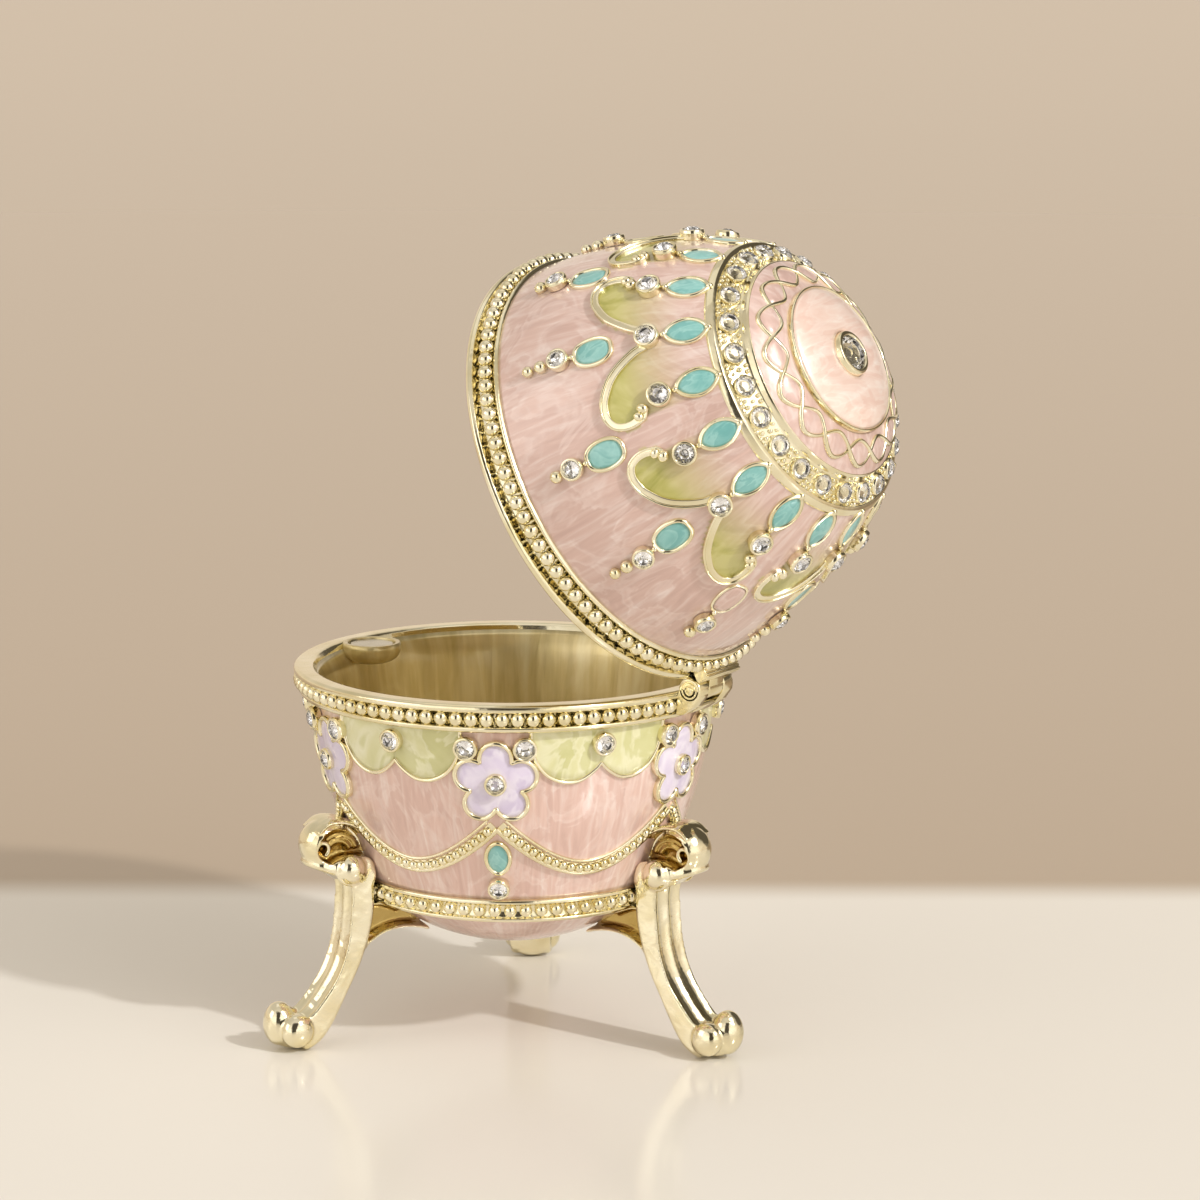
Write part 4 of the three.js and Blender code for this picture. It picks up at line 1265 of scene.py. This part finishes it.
def plate(outline, half, y=0.0):
    # An upright plate of that side outline.
    pts = smoothLine(outline, 0.4, True)
    n = len(pts)
    verts = [(r, y - half, z) for r, z in pts] + [(r, y + half, z) for r, z in pts]
    faces = [tuple(range(n)), tuple(range(2 * n - 1, n - 1, -1))]
    faces += [(i, i + n, (i + 1) % n + n, (i + 1) % n) for i in range(n)]
    return workMesh("plate", verts, faces)


def rod(points, radius, flat=1.0, count=14):
    # A round bar along a smooth line of (r, y, z); flat stretches it across the leg.
    line = smoothLine(points, 0.25)
    verts = []
    for spot, way in zip(line, np.gradient(line, axis=0)):
        way = Vector(way).normalized()
        side = way.cross(Vector((0, 1, 0))) if abs(way.y) < 0.9 else Vector((0, 0, 1)).cross(way)
        side.normalize()
        over = way.cross(side)
        for k in range(count):
            a = 2 * math.pi * k / count
            verts.append(Vector(spot) + side * math.cos(a) * radius + over * math.sin(a) * radius * flat)
    return workMesh("rod", verts, tubeFaces(len(line), count))


def arcPoints(centre, size, y, low, high, count, closing=0.0):
    # Points round an arc in the leg's side view; closing winds it in as it goes.
    (r, z), (wide, tall) = centre, size
    return [(r + (wide - closing * a) * math.cos(a), y, z + (tall - closing * a) * math.sin(a))
            for a in np.linspace(low, high, count)]


def cut(obj, tools):
    for tool in tools:
        modifier = obj.modifiers.new("cut", "BOOLEAN")
        modifier.operation = "DIFFERENCE"
        modifier.solver = "EXACT"
        modifier.object = tool
    depsgraph = bpy.context.evaluated_depsgraph_get()
    mesh = bpy.data.meshes.new_from_object(obj.evaluated_get(depsgraph))
    obj.modifiers.clear()
    obj.data = mesh
    for tool in tools:
        bpy.data.objects.remove(tool)
    return obj


def fused(parts, voxel, smooth):
    # Melts overlapping solids into one cast skin.
    verts, faces, start = [], [], 0
    for part in parts:
        bm = bmesh.new()
        bm.from_mesh(part.data)
        bmesh.ops.recalc_face_normals(bm, faces=bm.faces)
        bm.verts.index_update()
        verts += [v.co.copy() for v in bm.verts]
        faces += [tuple(start + v.index for v in f.verts) for f in bm.faces]
        start += len(bm.verts)
        bm.free()
        bpy.data.objects.remove(part)
    whole = workMesh("fused", verts, faces)
    remesh = whole.modifiers.new("melt", "REMESH")
    remesh.mode = "VOXEL"
    remesh.voxel_size = voxel
    soften = whole.modifiers.new("soften", "SMOOTH")
    soften.factor = 0.5
    soften.iterations = smooth
    depsgraph = bpy.context.evaluated_depsgraph_get()
    mesh = bpy.data.meshes.new_from_object(whole.evaluated_get(depsgraph))
    bpy.data.objects.remove(whole)
    return mesh


def legSide(side):
    # What each side of a leg has: the curl and folds inside the hood, the scroll's eye and its ring, the foot's eye.
    curl = arcPoints((27.75, 26.2), (1.05, 1.2), side * 1.9, -1.0, 4.6, 14, 0.12)
    ring = arcPoints((24.35, 23.3), (1.75, 1.75), side * 3.0, 2.6, 6.2, 16)
    folds = [arcPoints((25.3, 25.5), (3.1 * share, 2.9 * share), side, 0.1, 3.0, 12) for share in (0.8, 0.5)]
    parts = [rod(curl, 0.34, 2.2), blob((24.3, side * 2.95, 23.55), (leg["eye"], 1.65, leg["eye"])), rod(ring, 0.28)]
    parts += [rod(fold, 0.36) for fold in folds]
    parts.append(blob((31.7, side * 2.4, 2.85), (leg["footEye"], 1.6, leg["footEye"] + 0.05)))
    return parts


def makeLeg():
    arch = [(21.0, 0, 25.0), (21.6, 0, 26.9), (23.0, 0, 28.7), (25.0, 0, 29.6), (27.0, 0, 29.6), (28.6, 0, 28.5)]
    spine = [(21.2, 23.6), (21.9, 27.2), (24.0, 29.2), (27.0, 29.2), (27.4, 25.0), (25.0, 23.2)]
    seat = [(21.0, 21.5), (21.2, 24.2), (22.6, 25.0), (25.4, 25.0), (26.6, 23.9), (24.6, 21.5)]
    web = [(22.4, 18.4), (19.8, 18.6), (17.4, 17.6), (14.2, 15.6), (13.6, 15.0), (17.0, 15.1), (20.0, 14.3),
           (22.6, 12.2)]
    flange = [(23.1, 0, 11.4), (21.5, 0, 13.3), (19.3, 0, 14.5), (16.8, 0, 14.9), (14.4, 0, 14.6), (13.0, 0, 14.2)]
    hood = cut(hoodShape(), [plate(hollowSides, 2.0, side * 2.5) for side in (-1, 1)])
    parts = [hood, shaft(), rod(arch, 0.42, 7.0), plate(spine, 0.5)]
    parts += legSide(-1) + legSide(1)
    parts += [plate(seat, 3.0), blob((33.3, 0, 3.5), (2.05, 2.15, 2.9)), blob((31.4, 0, 2.3), (3.0, 2.6, 2.2)),
              blob((30.4, 0, 1.75), (2.3, 2.95, 1.75)), plate(web, 0.4), rod(flange, 0.38, 6.4),
              rod([(21.3, 0, 18.2), (19.2, 0, 18.0), (16.8, 0, 17.0)], 0.35, 4.6)]
    return fused(parts, leg["voxel"], leg["smooth"])


def placeLegs():
    cast = makeLeg()
    verts = np.empty(len(cast.vertices) * 3)
    cast.vertices.foreach_get("co", verts)
    verts = verts.reshape(-1, 3)
    verts[:, 2] = np.maximum(verts[:, 2], 0.0)
    faces = [tuple(p.vertices) for p in cast.polygons]
    centres = np.array([p.center[:] for p in cast.polygons])
    # Painted shade: faces inside the hood's hollow and on the bracket web take the dark hollow gold (slot 1), standing
    # in for the shade in those recesses.
    dark = np.zeros(len(faces), bool)
    for outline, deep in ((hollowSides, 2.3), (bracketWeb, 0.9)):
        loop = smoothLine(outline, 0.4, True)
        dark |= insideLine(centres[:, 0], centres[:, 2], loop) & (np.abs(centres[:, 1]) < deep)
    shares = [[f for f, d in zip(faces, dark) if d == state] for state in (False, True)]
    for name, turn in (("leg_back", 90), ("leg_left", 210), ("leg_right", 330)):
        a = math.radians(turn)
        x = verts[:, 0] * math.cos(a) - verts[:, 1] * math.sin(a)
        y = verts[:, 0] * math.sin(a) + verts[:, 1] * math.cos(a) + axisY
        piece = newPiece()
        for slot, share in enumerate(shares):
            addMesh(piece, np.stack([x, y, verts[:, 2]], axis=1), share, slot)
        finishPiece(piece, name + "_casting", "base", [castGilt, hollowShadeGilt], [name])


placeLegs()
print("legs made")


# Lights and floor
studio = {"sun": 1.65, "sunTurn": 85.0, "sunHeight": 36.5, "sunSpread": 3.0, "world": 1.08, "keyBox": 1.0,
          "fillBox": 1.1, "topBox": 0.3, "edgeTurn": 33.5, "edgeFrom": 0.066, "edgeTo": 0.08,
          "table": (0.80, 0.765, 0.71), "beyond": (0.43, 0.335, 0.245)}


def areaLight(name, place, size, power, colour):
    data = bpy.data.lights.new(name, "AREA")
    data.shape = "RECTANGLE"
    data.size, data.size_y = size
    data.energy = power
    data.color = colour
    obj = bpy.data.objects.new(name, data)
    aim = Vector((0, axisY * mm, 0.055))
    obj.location = aim + Vector(place)
    obj.rotation_euler = (aim - obj.location).to_track_quat("-Z", "Y").to_euler()
    obj.visible_camera = False
    bpy.context.scene.collection.objects.link(obj)


def studioLights():
    a = math.radians(camera["azimuth"])
    right = Vector((math.cos(a), math.sin(a), 0))
    back = Vector((math.sin(a), -math.cos(a), 0))  # towards the camera
    turn, rise = math.radians(studio["sunTurn"]), math.radians(studio["sunHeight"])
    sunAt = Vector((math.cos(turn) * math.cos(rise), math.sin(turn) * math.cos(rise), math.sin(rise)))
    data = bpy.data.lights.new("sun", "SUN")
    data.energy = studio["sun"]
    data.angle = math.radians(studio["sunSpread"])
    data.color = (1, 0.99, 0.97)
    obj = bpy.data.objects.new("sun", data)
    obj.location = sunAt
    obj.rotation_euler = (-sunAt).to_track_quat("-Z", "Y").to_euler()
    bpy.context.scene.collection.objects.link(obj)
    boxes = (("key_box", sunAt * 0.75 + Vector((0, 0, 0.05)), (0.42, 0.42), (1, 0.98, 0.95)),
             ("fill_box", -right * 0.95 + back * 0.35 + Vector((0, 0, 0.42)), (0.6, 0.55), (1, 0.98, 0.95)),
             ("top_box", -back * 0.15 + Vector((0, 0, 0.8)), (0.7, 0.5), (1, 0.99, 0.97)))
    for (name, place, size, colour), power in zip(boxes, (studio["keyBox"], studio["fillBox"], studio["topBox"])):
        areaLight(name, place, size, power, colour)


def alongWay(tree, vector, direction):
    # How far a vector points that way.
    node = addNode(tree, "ShaderNodeVectorMath", {0: vector, 1: direction}, operation="DOT_PRODUCT")
    return node.outputs["Value"]


def remap(tree, value, low, high, start=0.0, **settings):
    node = addNode(tree, "ShaderNodeMapRange", {
        "Value": value, "From Min": low, "From Max": high, "To Min": start}, **settings)
    return node.outputs[0]


def studioWorld():
    # A pale room: beige at eye height, white in front with a dark strip, a dark patch above for the metal.
    world = bpy.data.worlds.new("studio")
    world.use_nodes = True
    tree = world.node_tree
    shader = tree.nodes["Background"]
    way = addNode(tree, "ShaderNodeTexCoord").outputs["Generated"]
    high = addNode(tree, "ShaderNodeSeparateXYZ", {"Vector": way}).outputs["Z"]
    lit = addRamp(tree, high, [
        (0.0, (0.72, 0.60, 0.47)), (0.2, (0.78, 0.67, 0.54)), (0.6, (0.58, 0.53, 0.46))])
    a = math.radians(camera["azimuth"])
    front = alongWay(tree, way, (math.sin(a), -math.cos(a), 0.0))
    across = alongWay(tree, way, (math.cos(a), math.sin(a), 0.0))
    facing, lower = remap(tree, front, 0.1, 0.7), remap(tree, high, 0.75, 0.2, 0.25)
    bright = addNode(tree, "ShaderNodeMath", {0: facing, 1: lower}, operation="MULTIPLY")
    lit = mixColour(tree, bright.outputs[0], lit, (1.3, 1.23, 1.13))
    wide = addNode(tree, "ShaderNodeMath", {0: across}, operation="ABSOLUTE")
    inside, ahead = remap(tree, wide.outputs[0], 0.30, 0.22), remap(tree, front, 0.55, 0.65)
    strip = addNode(tree, "ShaderNodeMath", {0: inside, 1: ahead}, operation="MULTIPLY")
    lit = mixColour(tree, strip.outputs[0], lit, (0.07, 0.06, 0.05))
    patch = remap(tree, alongWay(tree, way, (-0.826, 0.252, 0.504)), 0.80, 0.90)
    lit = mixColour(tree, patch, lit, (0.10, 0.085, 0.065))
    tree.links.new(lit, shader.inputs["Color"])
    shader.inputs["Strength"].default_value = studio["world"]
    bpy.context.scene.world = world


def makeFloor():
    # Pale near the egg, beige beyond a soft straight edge behind it.
    bm = bmesh.new()
    bmesh.ops.create_circle(bm, cap_ends=True, segments=128, radius=9)
    mesh = bpy.data.meshes.new("floor")
    bm.to_mesh(mesh)
    bm.free()
    mat, tree, shader = newMaterial("pale_table", Roughness=0.16)
    shader.inputs["Specular IOR Level"].default_value = 0.22
    coords = objectCoords(tree)
    a = math.radians(studio["edgeTurn"])
    far = alongWay(tree, coords, (-math.cos(a), -math.sin(a), 0))
    away = remap(tree, far, studio["edgeFrom"], studio["edgeTo"], interpolation_type="SMOOTHSTEP")
    cloud = addNoise(tree, coords, 6, 2)
    near = addRamp(tree, cloud, [(0.3, tuple(c * 0.985 for c in studio["table"])), (0.7, studio["table"])])
    colour = mixColour(tree, away, near, studio["beyond"])
    tree.links.new(colour, shader.inputs["Base Color"])
    mesh.materials.append(mat)
    obj = bpy.data.objects.new("floor", mesh)
    bpy.context.scene.collection.objects.link(obj)


studioWorld()
studioLights()
makeFloor()
bpy.context.scene.view_settings.view_transform = "Standard"
